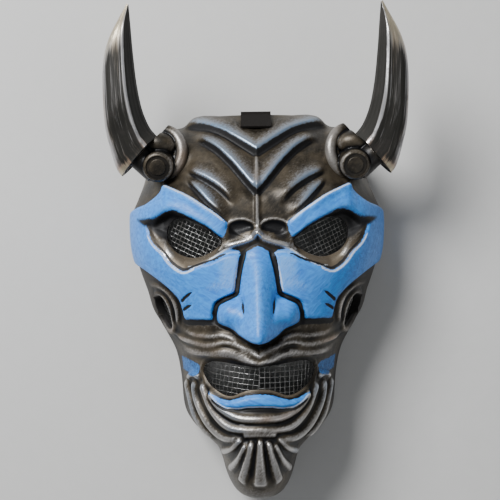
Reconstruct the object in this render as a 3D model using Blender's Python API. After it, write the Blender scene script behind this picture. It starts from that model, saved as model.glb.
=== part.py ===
"""Horned oni mask: a cast resin face with two bolted horns, wire screens and a strap tab.

The mask lies on its back rim. +X is the viewer's right, +Y runs from the chin to the horn tips,
and +Z points out of the face. The carving is drawn for one half, in millimetres, and mirrored.
"""

import math

import bmesh
import bpy
import numpy as np
from mathutils import Matrix, Vector

MM = 0.001

# The face, in millimetres
FACE_WIDTH = 183.0
FACE_LENGTH = 272.0
FACE_DEPTH = 95.0
WALL = 4.0
NOSE_RISE = 33.0
SOCKET_DEPTH = 9.0
TEMPLE_RISE = 15.0
EAR_RISE = 11.0
BACK_RIM_LIFT = 40.0
BACK_RIM_START = 48.0

# The horns
HORN_LENGTH = 118.0
HORN_THICKNESS = 0.72
HORN_FORWARD = 20.0
HORN_LIFT = 7.0
HORN_JOINT = 0.35
STEM_RADIUS = 9.0
DOWEL_RADIUS = 5.0
DOWEL_LENGTH = 9.0
DOWEL_CLEARANCE = 0.35
COLLAR_RADIUS = 16.6
COLLAR_BAND = 4.0
KNOB_RADIUS = 10.4
KNOB_DISH = 7.8
KNOB_DISH_DEPTH = 1.8

# The screens and the strap
SCREEN_THICKNESS = 0.8
SCREEN_LAP = 3.5
SCREEN_GAP = 0.45
STRAP_WIDTH = 21.0
STRAP_THICKNESS = 1.6
STRAP_FRONT_LEG = 10.0
STRAP_BACK_LEG = 26.0
STRAP_GAP = 0.5
STRAP_RISE = 3.2

# The drawing that the face's real sizes stretch
DRAWN = Vector((183.0, 272.0, 95.0))
STRETCH = np.array([FACE_WIDTH / DRAWN.x, FACE_LENGTH / DRAWN.y, FACE_DEPTH / DRAWN.z])
CHIN_END = -172.0
TOP_END = 100.0

# Mesh density before and after it is thinned
ROWS = 210
COLUMNS = 84
NOSE_SHARE = 0.17
NOSE_COLUMNS_REACH = 22.0
FRONT_SHARE = 0.78
FRONT_REACH = 0.93
SECTION_STEPS = 160
KEPT_SHARE = 0.0505
CAVITY_ROWS = 24
CAVITY_COLUMNS = 11

# Along the face: place, half width, crown, and how square the section is at the side and the crown
STATIONS = (
    (-172.0, 9.0, 40.0, 2.2, 2.2),
    (-170.5, 15.0, 54.0, 2.2, 2.2),
    (-167.0, 20.0, 67.0, 2.2, 2.2),
    (-158.0, 24.5, 78.0, 2.2, 2.2),
    (-146.0, 28.0, 84.0, 2.2, 2.1),
    (-137.0, 32.0, 86.5, 2.2, 2.0),
    (-128.0, 41.5, 88.0, 2.2, 2.0),
    (-119.0, 50.5, 88.5, 2.2, 2.0),
    (-108.0, 55.5, 90.0, 2.2, 2.0),
    (-86.0, 57.5, 91.0, 2.2, 2.1),
    (-68.0, 61.2, 91.5, 2.3, 2.1),
    (-52.0, 69.2, 92.0, 2.3, 2.2),
    (-38.0, 76.3, 92.5, 2.3, 2.2),
    (-24.0, 81.4, 93.0, 2.6, 2.3),
    (-8.0, 86.8, 94.0, 3.0, 2.4),
    (5.0, 90.3, 94.5, 3.2, 2.4),
    (20.0, 91.5, 95.0, 3.2, 2.4),
    (33.0, 91.0, 94.0, 3.1, 2.4),
    (42.0, 87.6, 92.0, 2.8, 2.4),
    (54.0, 83.2, 87.0, 2.6, 2.3),
    (70.0, 78.6, 78.0, 2.6, 2.3),
    (84.0, 69.5, 68.0, 2.5, 2.2),
    (94.0, 60.0, 58.5, 2.5, 2.2),
    (100.0, 48.0, 51.0, 2.5, 2.2),
)

# Openings, each as the half or whole outline seen from the front
EYE_HOLE = ((24.5, 10.5), (31.5, 17.2), (41.5, 23.6), (50.5, 27.0), (58.0, 25.4), (62.0, 19.5), (61.8, 12.0),
            (57.5, 5.0), (50.5, 0.8), (43.0, -0.4), (35.5, 1.4), (28.5, 5.4))
MOUTH_TOP = ((0.0, -74.8), (12.0, -73.4), (23.0, -71.6), (32.0, -71.4), (37.0, -74.0))
MOUTH_END = ((37.0, -74.0), (38.4, -78.4), (36.6, -83.4), (33.4, -88.0))
MOUTH_LOW = ((33.4, -88.0), (29.0, -91.4), (24.0, -94.0), (18.5, -94.6), (13.0, -92.4), (7.0, -90.4), (0.0, -90.0))
VENT_CENTRE = (65.5, -38.5)
VENT_RADII = (9.4, 11.4)
VENT_LEAN = math.radians(14)

# Edges of the raised cheek and brow plate, one half, in order round the eye
BROW_TOP = ((20.0, 23.0), (28.3, 29.8), (38.3, 36.5), (48.3, 42.4), (61.8, 48.8))
TEMPLE_EDGE = ((61.8, 48.8), (68.1, 42.8), (76.0, 37.4), (84.4, 35.1), (90.9, 33.5))
SIDE_EDGE = ((90.9, 33.5), (91.4, 20.0), (90.2, 4.0), (86.6, -5.0))
CHEEK_OUTER = ((86.6, -5.0), (78.9, -8.5), (71.2, -13.4), (63.5, -19.0), (57.4, -24.6), (53.2, -30.3), (49.8, -43.0))
CHEEK_LOW = ((49.8, -43.0), (31.2, -42.8))
NASAL_EDGE = ((31.2, -42.8), (30.3, -36.3), (28.5, -30.8), (24.4, -28.1), (18.1, -25.3), (15.7, -23.2),
              (13.9, -12.3), (12.3, -4.9), (10.3, 1.5))
LID_EDGE = ((10.3, 1.5), (17.5, 2.3), (24.0, 0.4), (29.2, -2.2), (34.7, -4.0), (43.9, -7.2), (49.6, -9.0),
            (54.4, -6.9), (59.3, -2.7), (64.0, 3.5), (70.9, 10.5), (74.4, 17.5), (75.4, 22.3))
BROW_LOW = ((75.4, 22.3), (69.9, 26.2), (65.0, 29.7), (59.5, 31.8), (54.1, 30.8), (44.4, 25.6), (32.1, 18.7),
            (24.6, 12.7), (21.2, 16.5), (20.0, 23.0))

# Crest lines of the carving, from the midline outwards
FOREHEAD_FOLDS = (
    ((0.0, 71.9), (12.2, 79.9), (23.2, 86.7), (35.5, 91.6), (44.8, 93.6), (52.0, 92.0)),
    ((0.0, 44.2), (5.0, 49.6), (11.1, 57.2), (17.2, 64.6), (26.2, 73.7), (35.3, 79.8), (44.0, 82.8)),
    ((14.3, 35.0), (23.3, 45.3), (32.4, 52.0), (41.3, 56.8), (48.5, 61.0)),
    ((20.4, 25.9), (24.6, 30.2), (32.5, 37.4), (41.4, 47.1), (48.0, 54.5)),
)
CROWN_FOLD = ((5.0, 80.0), (13.0, 89.0), (17.5, 97.5))
BRIDGE_FOLD = ((0.0, 16.5), (4.3, 12.5), (9.7, 10.2), (17.1, 8.2), (24.0, 5.5))
FROWN_HOLLOW = ((2.0, 18.5), (3.6, 22.6), (9.6, 24.8), (17.0, 23.7), (19.6, 20.7), (18.0, 14.6), (11.7, 15.2))
NOSE_EDGE = ((0.0, 8.2), (5.0, 5.8), (10.3, 1.5), (13.0, -12.3), (14.6, -22.5), (17.5, -25.0), (24.0, -28.8),
             (28.0, -32.4), (29.4, -37.8), (28.6, -43.1), (26.2, -46.0), (18.4, -49.2), (12.4, -53.7),
             (5.5, -57.4), (0.0, -58.6))
NOSE_CREASE = ((9.4, -43.5), (10.4, -37.2), (11.6, -28.5), (14.2, -21.4))
LIP_FOLDS = (
    ((10.7, -58.4), (18.5, -54.6), (25.3, -53.2), (32.3, -54.1), (44.4, -53.0), (53.0, -49.6)),
    ((0.0, -66.6), (10.7, -61.5), (18.4, -58.9), (23.5, -58.3), (32.2, -59.6), (42.5, -58.8), (52.7, -56.4), (61.0, -50.5)),
    ((0.0, -70.6), (6.5, -69.0), (15.0, -65.4), (23.6, -64.2), (32.2, -64.4), (45.0, -64.0), (54.0, -63.0)),
)
LOWER_LIP = ((0.0, -93.6), (7.0, -94.2), (14.0, -96.4), (20.0, -98.0), (26.3, -96.6), (34.0, -92.0), (31.4, -96.6),
             (26.3, -100.4), (20.3, -102.9), (15.5, -102.6), (8.7, -101.5), (0.0, -101.0))
JAW_FOLDS = (
    ((50.0, -84.5), (49.6, -91.3), (47.9, -98.7), (44.4, -110.3), (37.6, -120.1), (30.1, -126.8)),
    ((44.6, -83.6), (43.6, -97.1), (39.1, -108.5), (32.2, -118.2), (24.3, -123.8), (15.5, -126.0)),
    ((39.6, -85.5), (36.4, -94.8), (32.7, -103.5), (26.5, -111.3), (19.5, -116.2), (11.5, -117.4)),
    ((34.5, -92.0), (28.2, -101.0), (20.9, -106.2), (12.4, -109.3), (0.0, -109.9)),
)
CHIN_FLUTES = (
    ((0.0, -121.5), (0.0, -158.5)),
    ((5.4, -126.5), (8.6, -140.0), (12.6, -156.5)),
    ((9.4, -128.5), (13.8, -138.6), (20.0, -148.0)),
    ((11.0, -123.4), (17.5, -129.6), (25.0, -135.2)),
)
CHIN_BAR = ((0.0, -119.8), (11.6, -120.0))
EAR_RIM = ((58.0, -49.5), (55.4, -41.6), (56.8, -32.3), (61.6, -24.3), (68.2, -19.9), (77.5, -19.0))
COLLAR_CENTRE = (66.0, 72.5)
SEAT_AXIS = (0.40, 0.10, 0.91)

# The horn's two edges seen from the front, base to tip, where the base centre is the zero
HORN_INNER = ((-12.8, 14.0), (-7.6, 20.5), (-3.0, 32.3), (-0.1, 48.6), (1.9, 69.4), (3.2, 87.7), (4.4, 101.0))
HORN_OUTER = ((12.8, -14.0), (16.5, -7.4), (20.2, 6.3), (22.9, 22.5), (23.2, 54.8), (18.8, 76.3), (5.8, 101.8))
HORN_BASE = (80.8, 70.2)
DRAWN_HORN = 118.0


def ramp(t):
    """0 below 0, 1 above 1, and a smooth step between."""
    t = np.clip(t, 0.0, 1.0)
    return t * t * (3.0 - 2.0 * t)


def smooth_line(points, steps=6):
    """Points along a Catmull-Rom curve through the given ones."""
    p = np.array(points, float)
    p = np.vstack([2 * p[0] - p[1], p, 2 * p[-1] - p[-2]])
    t = np.linspace(0.0, 1.0, steps, endpoint=False)[:, None]
    runs = []
    for a, b, c, d in zip(p[:-3], p[1:-2], p[2:-1], p[3:]):
        runs.append(0.5 * (2 * b + (c - a) * t + (2 * a - 5 * b + 4 * c - d) * t**2
                           + (3 * b - a - 3 * c + d) * t**3))
    return np.vstack(runs + [p[-2][None]])


STATION_CURVE = smooth_line(STATIONS)


def station(y):
    """Half width, crown and the two powers of the section at that place."""
    return [np.interp(y, STATION_CURVE[:, 0], STATION_CURVE[:, i]) for i in (1, 2, 3, 4)]


def section(y, wall=0.0):
    """Half of the section at y, from the midline to the rim: across, height and length along the skin."""
    inner = wall > 0.0
    along = max(y - wall / STRETCH[1] * float(inner and y < -120.0), CHIN_END)
    half, crown, side, top = station(along)
    half = half - wall / STRETCH[0]
    crown = crown - wall / STRETCH[2]
    turn = np.linspace(0.0, math.pi / 2, SECTION_STEPS)
    across = half * np.sin(turn) ** (2.0 / side)
    height = crown * np.cos(turn) ** (2.0 / top)
    height[-1] = 0.0
    length = np.concatenate([[0.0], np.cumsum(np.hypot(np.diff(across), np.diff(height)))])
    return across, height, length


def on_skin(points):
    """A front view line as (length along the skin from the midline, y)."""
    line = []
    for x, y in points:
        across, _, length = section(y)
        line.append((np.interp(min(x, 0.998 * across[-1]), across, length), y))
    return np.array(line)


def measure(line, u, v):
    """Distance from (u, v) to a line, positive on its left, and how far along the line, 0 to 1."""
    best = np.full(u.shape, 1e9)
    sign = np.ones(u.shape)
    share = np.zeros(u.shape)
    steps = np.hypot(*np.diff(line, axis=0).T)
    total = steps.sum()
    run = 0.0
    for (ax, ay), (bx, by), size in zip(line[:-1], line[1:], steps):
        dx, dy = bx - ax, by - ay
        t = np.clip(((u - ax) * dx + (v - ay) * dy) / max(size * size, 1e-9), 0.0, 1.0)
        gap = np.hypot(u - ax - t * dx, v - ay - t * dy)
        near = gap < best - 1e-9
        best = np.where(near, gap, best)
        sign = np.where(near, np.sign(dx * (v - ay) - dy * (u - ax)), sign)
        share = np.where(near, (run + t * size) / total, share)
        run += size
    return best * np.where(sign == 0, 1.0, sign), share


def inside(outline, u, v):
    """Distance inward from a closed outline, negative outside."""
    ring = np.vstack([outline, outline[:1]])
    gap = np.abs(measure(ring, u, v)[0])
    crossings = np.zeros(u.shape, int)
    for (ax, ay), (bx, by) in zip(ring[:-1], ring[1:]):
        spans = (ay > v) != (by > v)
        at = ax + (v - ay) / (by - ay if by != ay else 1e-9) * (bx - ax)
        crossings += spans & (u < at)
    return np.where(crossings % 2 == 1, gap, -gap)


def fade_ends(share, start, end):
    """1 along a line, and falling to 0 over a share of it at each end."""
    up = ramp(share / start) if start else 1.0
    down = ramp((1.0 - share) / end) if end else 1.0
    return up * down


def fold(points, u, v, rise, back, fall, drop, recover, start=0.0, end=0.0):
    """A lapped fold: it swells to a crest on the line's left and is undercut on its right."""
    gap, share = measure(on_skin(smooth_line(points)), u, v)
    swell = rise * (1.0 - ramp(gap / back))
    below = -gap
    cliff = rise - (rise + drop) * ramp(below / fall)
    foot = -drop * (1.0 - ramp((below - fall) / recover))
    shape = np.where(gap >= 0, swell, np.where(below < fall, cliff, foot))
    return shape * fade_ends(share, start, end)


def ridge(points, u, v, rise, half, half_end=None, start=0.0, end=0.0):
    """A rounded ridge, or a groove where rise is negative, whose half width may change along it."""
    gap, share = measure(on_skin(smooth_line(points)), u, v)
    width = half + ((half_end or half) - half) * share
    return rise * (1.0 - ramp(np.abs(gap) / width)) * fade_ends(share, start, end)


def plate_outline():
    """The raised brow and cheek plate, which runs round the eye."""
    edges = (BROW_TOP, TEMPLE_EDGE, SIDE_EDGE, CHEEK_OUTER, CHEEK_LOW, NASAL_EDGE, LID_EDGE, BROW_LOW)
    return np.vstack([smooth_line(edge, 4)[:-1] for edge in edges])


def eye_outline():
    """The hollow between the brow and the lid."""
    return np.vstack([smooth_line(LID_EDGE[3:], 4)[:-1], smooth_line(BROW_LOW[:-2], 4)])


def nose_height(x, y, thin=0.0):
    """How far the nose and its wings stand out of the face, less a wall that is taken off all round."""
    places = (-62.5, -61.0, -58.5, -55.5, -52.0, -46.0, -35.0, -22.0, -10.0, 0.0, 9.0)
    rises = (0.0, 0.42, 0.84, 0.98, 1.0, 0.93, 0.76, 0.55, 0.34, 0.15, 0.0)
    crest = np.interp(y - 2.6 * thin, places, rises) * NOSE_RISE / STRETCH[2]
    half = np.interp(y, (-60.0, -52.0, -40.0, -22.0, 0.0, 9.0), (12.0, 19.0, 17.0, 13.6, 10.5, 7.0)) - thin
    spread = np.sqrt(x * x + 2.6**2) - 2.6
    body = (crest - 2.0 * thin) * np.clip(1.0 - (spread / np.maximum(half, 1.0)) ** 1.15, 0.0, 1.0)
    if thin:
        return np.maximum(body, 0.0)
    wing = 13.5 * np.clip(1.0 - ((x - 19.0) / 11.3) ** 2 - ((y + 38.5) / 11.8) ** 2, 0.0, 1.0) ** 0.72
    outline = smooth_line(NOSE_EDGE, 4)
    mirrored = np.vstack([outline, outline[::-1] * (-1, 1)])
    shoulder = ramp((inside(mirrored, x, y) + 1.5) / 3.6)
    return np.sqrt(body**2 + wing**2 + 1e-9) * shoulder


def seat_height():
    """How high the middle of a horn's seat lies."""
    across, height, _ = section(COLLAR_CENTRE[1])
    return float(np.interp(COLLAR_CENTRE[0], across, height)) + TEMPLE_RISE / STRETCH[2]


def temple_lift(x, y, z):
    """What raises the temple to a tilted flat seat under each collar."""
    out, up = x - COLLAR_CENTRE[0], y - COLLAR_CENTRE[1]
    seat = seat_height() - (SEAT_AXIS[0] * out + SEAT_AXIS[1] * up) / SEAT_AXIS[2]
    share = (1.0 - ramp((np.hypot(out, up) - 13.0) / 12.0)) * (1.0 - ramp((x - 70.0) / 7.0))
    return share * (seat - z)


def ear_height(x, y):
    """The swelling outside each vent, which turns the vent to the front."""
    reach = np.hypot((x - 76.0) / 9.5, (y - VENT_CENTRE[1]) / 19.0)
    return EAR_RISE / STRETCH[2] * (1.0 - ramp(reach))


def eye_depth(x, y):
    """The socket, steep under the brow and shallow towards the lid."""
    deep = SOCKET_DEPTH / STRETCH[2]
    within = inside(eye_outline(), x, y)
    from_brow = np.abs(measure(smooth_line(BROW_LOW[:-2], 4), x, y)[0])
    from_lid = np.abs(measure(smooth_line(LID_EDGE[2:], 4), x, y)[0])
    return -deep * ramp(from_brow / 4.0) * ramp(from_lid / 12.0) * (within > 0)


def main_form(x, y, z, wall=0.0):
    """Heights added to the plain section by the nose, the sockets, the ears and the temples."""
    x = np.abs(x)
    if wall:
        eye_back = -SOCKET_DEPTH / STRETCH[2] * ramp((inside(eye_outline(), x, y) + 12.0) / 8.0)
        return nose_height(x, y, wall) + eye_back
    return nose_height(x, y) + eye_depth(x, y) + ear_height(x, y) + temple_lift(x, y, z)


def relief(x, u, v):
    """Carving that stands on the main form, at a skin point u along and v up, seen at x from the front."""
    u = np.abs(u)
    x = np.abs(x)
    high = np.zeros(u.shape)
    rises = (3.8, 3.8, 3.2, 2.0)
    for i, (line, rise) in enumerate(zip(FOREHEAD_FOLDS, rises)):
        high += fold(line, u, v, rise, 14.0 - 1.8 * i, 1.8, 1.4, 6.0, start=0.0 if i < 2 else 0.25, end=0.2)
    high += ridge(CROWN_FOLD, u, v, 0.9, 1.6, end=0.2, start=0.3)
    high += ridge(((0.0, 73.0), (0.0, 20.0)), u, v, 2.2, 3.6, end=0.1, start=0.1)
    high += ridge(BRIDGE_FOLD, u, v, 2.8, 3.6, end=0.25)
    high += 2.4 * (1.0 - ramp(np.hypot(u, v - 16.5) / 5.5))
    hollow = on_skin(smooth_line(FROWN_HOLLOW + FROWN_HOLLOW[:1], 4)[:-1])
    high -= 1.6 * ramp(inside(hollow, u, v) / 3.2)
    plate = inside(on_skin(plate_outline()), u, v)
    high += 2.4 * ramp(plate / 1.4)
    high += fold(BROW_TOP, u, v, 2.0, 7.0, 6.0, 0.0, 1.0)
    high -= 1.2 * np.clip(1.0 - np.abs(measure(on_skin(smooth_line(NASAL_EDGE)), u, v)[0] - 1.2) / 2.0, 0.0, 1.0)
    high += ridge(LID_EDGE[3:], u, v, 0.9, 1.6, start=0.2, end=0.3)
    high += ridge(NOSE_CREASE, u, v, -2.2, 2.4, end=0.3, start=0.3)
    high += ridge(LIP_FOLDS[0], u, v, 2.0, 2.4, start=0.15, end=0.3)
    high += fold(LIP_FOLDS[1], u, v, 3.2, 3.6, 1.6, 1.0, 2.5, end=0.25)
    high += ridge(LIP_FOLDS[2], u, v, 3.4, 4.6, end=0.35)
    lip = on_skin(LOWER_LIP)
    high += 3.4 * ramp(inside(np.vstack([lip, lip[::-1] * (-1, 1)]), u, v) / 1.5)
    for i, line in enumerate(JAW_FOLDS):
        high += ridge(line, u, v, 3.0, 3.5 if i else 3.2, start=0.12, end=0.0 if i == 3 else 0.25)
    high += ridge(CHIN_BAR, u, v, 2.6, 3.2, end=0.3)
    for i, line in enumerate(CHIN_FLUTES):
        high += ridge(line, u, v, 3.3, 1.9, (5.2, 3.8, 3.0, 2.6)[i], start=0.12, end=0.08)
    high += ridge(EAR_RIM, u, v, 2.6, 2.8, start=0.2, end=0.25)
    centre = on_skin([VENT_CENTRE])[0]
    high += 2.6 * (1.0 - ramp(np.abs(vent_reach(u - centre[0], v - centre[1]) - 1.25) / 0.3))
    return high * ramp((v - CHIN_END) / 6.0)


def vent_reach(du, dv):
    """1 on the vent's outline, less inside."""
    c, s = math.cos(VENT_LEAN), math.sin(VENT_LEAN)
    return np.hypot((c * du - s * dv) / VENT_RADII[0], (s * du + c * dv) / VENT_RADII[1])


def row_places():
    """Where the rows lie along the face, closer together round the chin."""
    t = np.linspace(0.0, 1.0, ROWS)
    chin = 0.1
    bend = 14.0
    return np.where(t < chin, CHIN_END + bend * (t / chin) ** 1.7,
                    CHIN_END + bend + (TOP_END - CHIN_END - bend) * (t - chin) / (1 - chin))


def half_columns(y, across, length, count):
    """Skin lengths of one half's columns: the first ones on the nose, the last ones down the side."""
    front = np.interp(FRONT_REACH * across[-1], across, length)
    nose_line = smooth_line(NOSE_EDGE, 4)[::-1]
    foot = float(np.interp(y, nose_line[:, 1], nose_line[:, 0]))
    beside = float(ramp((y + 72.0) / 14.0) * ramp((20.0 - y) / 12.0))
    foot = max(NOSE_COLUMNS_REACH + (foot - NOSE_COLUMNS_REACH) * beside, 6.0)
    t = np.linspace(0.0, 1.0, count)
    return np.interp(t, (0.0, NOSE_SHARE, FRONT_SHARE, 1.0), (0.0, foot, front, length[-1]))


def skin_grid(rows, count, wall=0.0):
    """Points of the face, in drawn millimetres, with rows up the face and columns from rim to rim."""
    middle_first = np.linspace(0.0, 1.0, count) ** 1.3
    points = np.zeros((len(rows), 2 * count - 1, 3))
    skin = np.zeros((len(rows), 2 * count - 1))
    for i, y in enumerate(rows):
        across, height, length = section(y, wall)
        at = middle_first * length[-1] if wall else half_columns(y, across, length, count)
        x = np.interp(at, length, across)
        z = np.interp(at, length, height)
        points[i, :, 0] = np.concatenate([-x[:0:-1], x])
        points[i, :, 1] = y
        points[i, :, 2] = np.concatenate([z[:0:-1], z])
        skin[i] = np.concatenate([-at[:0:-1], at])
    held = ramp(points[..., 2] / 12.0)
    points[..., 2] += main_form(points[..., 0], points[..., 1], points[..., 2], wall) * held
    return points, skin


def normals_of(points):
    """Outward normals of a grid of points."""
    up = np.gradient(points, axis=0)
    side = np.gradient(points, axis=1)
    normal = np.cross(side, up)
    return normal / np.maximum(np.linalg.norm(normal, axis=2, keepdims=True), 1e-9)


def carved_grid(rows, count):
    """The carved outer skin in real millimetres."""
    points, skin = skin_grid(rows, count)
    high = relief(points[..., 0], skin, points[..., 1])
    near_rim = ramp(points[..., 2] / 14.0)
    real = points * STRETCH
    return real + normals_of(real) * (high * near_rim)[..., None]


def mesh_object(name, vertices, faces):
    """A mesh object from real millimetres."""
    mesh = bpy.data.meshes.new(name)
    mesh.from_pydata([tuple(float(c) * MM for c in v) for v in vertices], [], faces)
    mesh.update()
    obj = bpy.data.objects.new(name, mesh)
    bpy.context.scene.collection.objects.link(obj)
    return obj


def set_outward(obj):
    """Points the faces of a closed mesh outwards."""
    bm = bmesh.new()
    bm.from_mesh(obj.data)
    bmesh.ops.recalc_face_normals(bm, faces=bm.faces)
    bm.to_mesh(obj.data)
    bm.free()


def grid_solid(name, grid, floor=None):
    """A closed solid from a grid: the skin, its two end caps and a flat floor under it."""
    rows, columns = grid.shape[:2]
    if floor is not None:
        left, right = grid[:, :1].copy(), grid[:, -1:].copy()
        left[..., 2] = right[..., 2] = floor
        grid = np.concatenate([left, grid, right], axis=1)
        columns += 2
    index = np.arange(rows * columns).reshape(rows, columns)
    faces = []
    for i in range(rows - 1):
        for j in range(columns - 1):
            a, b, c, d = index[i, j], index[i, j + 1], index[i + 1, j + 1], index[i + 1, j]
            faces += [(a, b, d), (b, c, d)] if 2 * j < columns - 1 else [(a, b, c), (a, c, d)]
    faces += [(index[i, -1], index[i, 0], index[i + 1, 0], index[i + 1, -1]) for i in range(rows - 1)]
    faces += [tuple(index[0]), tuple(index[-1])]
    obj = mesh_object(name, grid.reshape(-1, 3), [tuple(int(k) for k in f) for f in faces])
    set_outward(obj)
    return obj


def material(name, colour, roughness, metallic):
    """A plain finish."""
    made = bpy.data.materials.new(name)
    made.use_nodes = True
    shader = made.node_tree.nodes["Principled BSDF"]
    shader.inputs["Base Color"].default_value = (*colour, 1.0)
    shader.inputs["Roughness"].default_value = roughness
    shader.inputs["Metallic"].default_value = metallic
    return made


def as_cutter(obj):
    """Keeps an object for Booleans only."""
    obj.hide_render = True
    obj.display_type = "WIRE"
    return obj


def boolean(obj, other, operation):
    """Adds an exact Boolean."""
    modifier = obj.modifiers.new(other.name, "BOOLEAN")
    modifier.operation = operation
    modifier.object = other
    modifier.solver = "EXACT"


def prism(name, outline, low, high):
    """A straight cutter of that outline, in real millimetres."""
    count = len(outline)
    vertices = [(x, y, z) for z in (low, high) for x, y in outline]
    sides = [(i, (i + 1) % count, count + (i + 1) % count, count + i) for i in range(count)]
    obj = mesh_object(name, vertices, [tuple(range(count))[::-1], tuple(range(count, 2 * count)), *sides])
    set_outward(obj)
    return as_cutter(obj)


def closed_line(points, steps):
    """A smooth closed outline through the points."""
    p = list(points)
    ring = smooth_line([p[-1], *p, p[0], p[1]], steps)
    return ring[steps:-steps - 1]


def mouth_outline(steps):
    """The whole mouth opening."""
    half = np.vstack([smooth_line(part, steps)[:-1] for part in (MOUTH_TOP, MOUTH_END, MOUTH_LOW)])
    half = np.vstack([half, MOUTH_LOW[-1]])
    return np.vstack([half, half[-2:0:-1] * (-1, 1)])


def grown(outline, by):
    """An outline moved outwards by a distance."""
    before = np.roll(outline, 1, axis=0)
    after = np.roll(outline, -1, axis=0)
    run = after - before
    normal = np.stack([run[:, 1], -run[:, 0]], axis=1)
    normal /= np.linalg.norm(normal, axis=1, keepdims=True)
    area = np.sum(before[:, 0] * outline[:, 1] - before[:, 1] * outline[:, 0])
    return outline + normal * by * np.sign(area)


def hollow(name, wall, floor):
    """The hollow behind the face for that wall, as a solid that runs out through the floor and the top rim."""
    first = CHIN_END + 1.25 * WALL / STRETCH[1]
    rows = np.concatenate([np.linspace(first, first + 12, 5)[:-1], np.linspace(first + 12, TOP_END - 0.5, CAVITY_ROWS)])
    grid = skin_grid(rows, CAVITY_COLUMNS, wall)[0] * STRETCH
    beyond = grid[-1:].copy()
    beyond[..., 1] += 12.0
    return as_cutter(grid_solid(name, np.concatenate([grid, beyond]), floor=floor))


def screen(name, bar, finish):
    """A thin plate that follows the inside of the wall behind an opening, cut to the bar's outline."""
    near = WALL + SCREEN_GAP
    plate = hollow(name, near, -8.0)
    plate.hide_render = False
    plate.display_type = "TEXTURED"
    boolean(plate, hollow(name + "_behind", near + SCREEN_THICKNESS, -12.0), "DIFFERENCE")
    boolean(plate, bar, "INTERSECT")
    plate.data.materials.append(finish)
    plate.data.shade_smooth()
    plate.data.set_sharp_from_angle(angle=math.radians(40))
    return plate


def seat_frame(side):
    """Where a horn's seat lies on the temple, in real millimetres, and the way it faces."""
    x, y = COLLAR_CENTRE
    axis = Vector((SEAT_AXIS[0] * side, SEAT_AXIS[1], SEAT_AXIS[2])).normalized()
    return Vector((x * side * STRETCH[0], y * STRETCH[1], seat_height() * STRETCH[2])), axis


def keep_mesh(bm, name):
    """An object from a bmesh."""
    mesh = bpy.data.meshes.new(name)
    bm.to_mesh(mesh)
    bm.free()
    obj = bpy.data.objects.new(name, mesh)
    bpy.context.scene.collection.objects.link(obj)
    return obj


def rod(name, start, axis, radius, length, sides=40, bevel=0.0):
    """A round bar from start along axis, in real millimetres, with an optional rounded far end."""
    bm = bmesh.new()
    bmesh.ops.create_cone(bm, cap_ends=True, segments=sides, radius1=radius * MM, radius2=radius * MM,
                          depth=length * MM)
    if bevel:
        far = [e for e in bm.edges if all(v.co.z > 0 for v in e.verts)]
        bmesh.ops.bevel(bm, geom=far, offset=bevel * MM, segments=2, profile=0.5, affect="EDGES")
    turn = axis.to_track_quat("Z", "Y").to_matrix().to_4x4()
    middle = (start + axis * length / 2) * MM
    bmesh.ops.transform(bm, matrix=Matrix.Translation(middle) @ turn, verts=bm.verts)
    return keep_mesh(bm, name)


def lobe(name, centre, radii, lean=0.0):
    """A rounded lump, turned about the line of sight."""
    bm = bmesh.new()
    bmesh.ops.create_uvsphere(bm, u_segments=14, v_segments=8, radius=1.0)
    turn = Matrix.Rotation(lean, 4, "Z") @ Matrix.Diagonal((*(r * MM for r in radii), 1.0))
    bmesh.ops.transform(bm, matrix=Matrix.Translation(centre * MM) @ turn, verts=bm.verts)
    return keep_mesh(bm, name)


def collar(side):
    """The raised ring round a horn's seat."""
    seat, axis = seat_frame(side)
    bpy.ops.mesh.primitive_torus_add(major_segments=25, minor_segments=8, major_radius=COLLAR_RADIUS * MM,
                                     minor_radius=COLLAR_BAND * MM, location=(seat + axis * 1.2) * MM,
                                     rotation=axis.to_track_quat("Z", "Y").to_euler())
    obj = bpy.context.object
    obj.name = f"collar_{side}"
    return as_cutter(obj)


def horn_rings(base, side):
    """Sections of the horn from its base to its tip, each with a raised line down the front."""
    size = HORN_LENGTH / DRAWN_HORN
    inner = smooth_line(HORN_INNER, 2) * size
    outer = smooth_line(HORN_OUTER, 2) * size
    turns = np.linspace(0.0, 2 * math.pi, 16, endpoint=False)
    crest = np.exp(-(((turns - 2.05) / 0.34) ** 2))
    rings = []
    for i, (a, b) in enumerate(zip(inner, outer)):
        lift = HORN_FORWARD * ramp(i / (len(inner) - 1) * 1.1)
        middle, half = (a + b) / 2, (b - a) / 2
        deep = np.linalg.norm(half) * HORN_THICKNESS
        rise = np.sin(turns) * deep * (1.0 + 0.32 * crest)
        rings.append([(base.x + side * (middle[0] + half[0] * c), base.y + middle[1] + half[1] * c, base.z + lift + r)
                      for c, r in zip(np.cos(turns), rise)])
    return rings


def horn_base(side):
    """The middle of a horn's diagonal base, and the way that the horn leaves it."""
    seat, _ = seat_frame(side)
    across = Vector(HORN_INNER[0]) - Vector(HORN_OUTER[0])
    out = Vector((side * across.y, -across.x, 0.0)).normalized()
    base = Vector((HORN_BASE[0] * side * STRETCH[0], HORN_BASE[1] * STRETCH[1], seat.z + HORN_LIFT))
    return base, out


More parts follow.
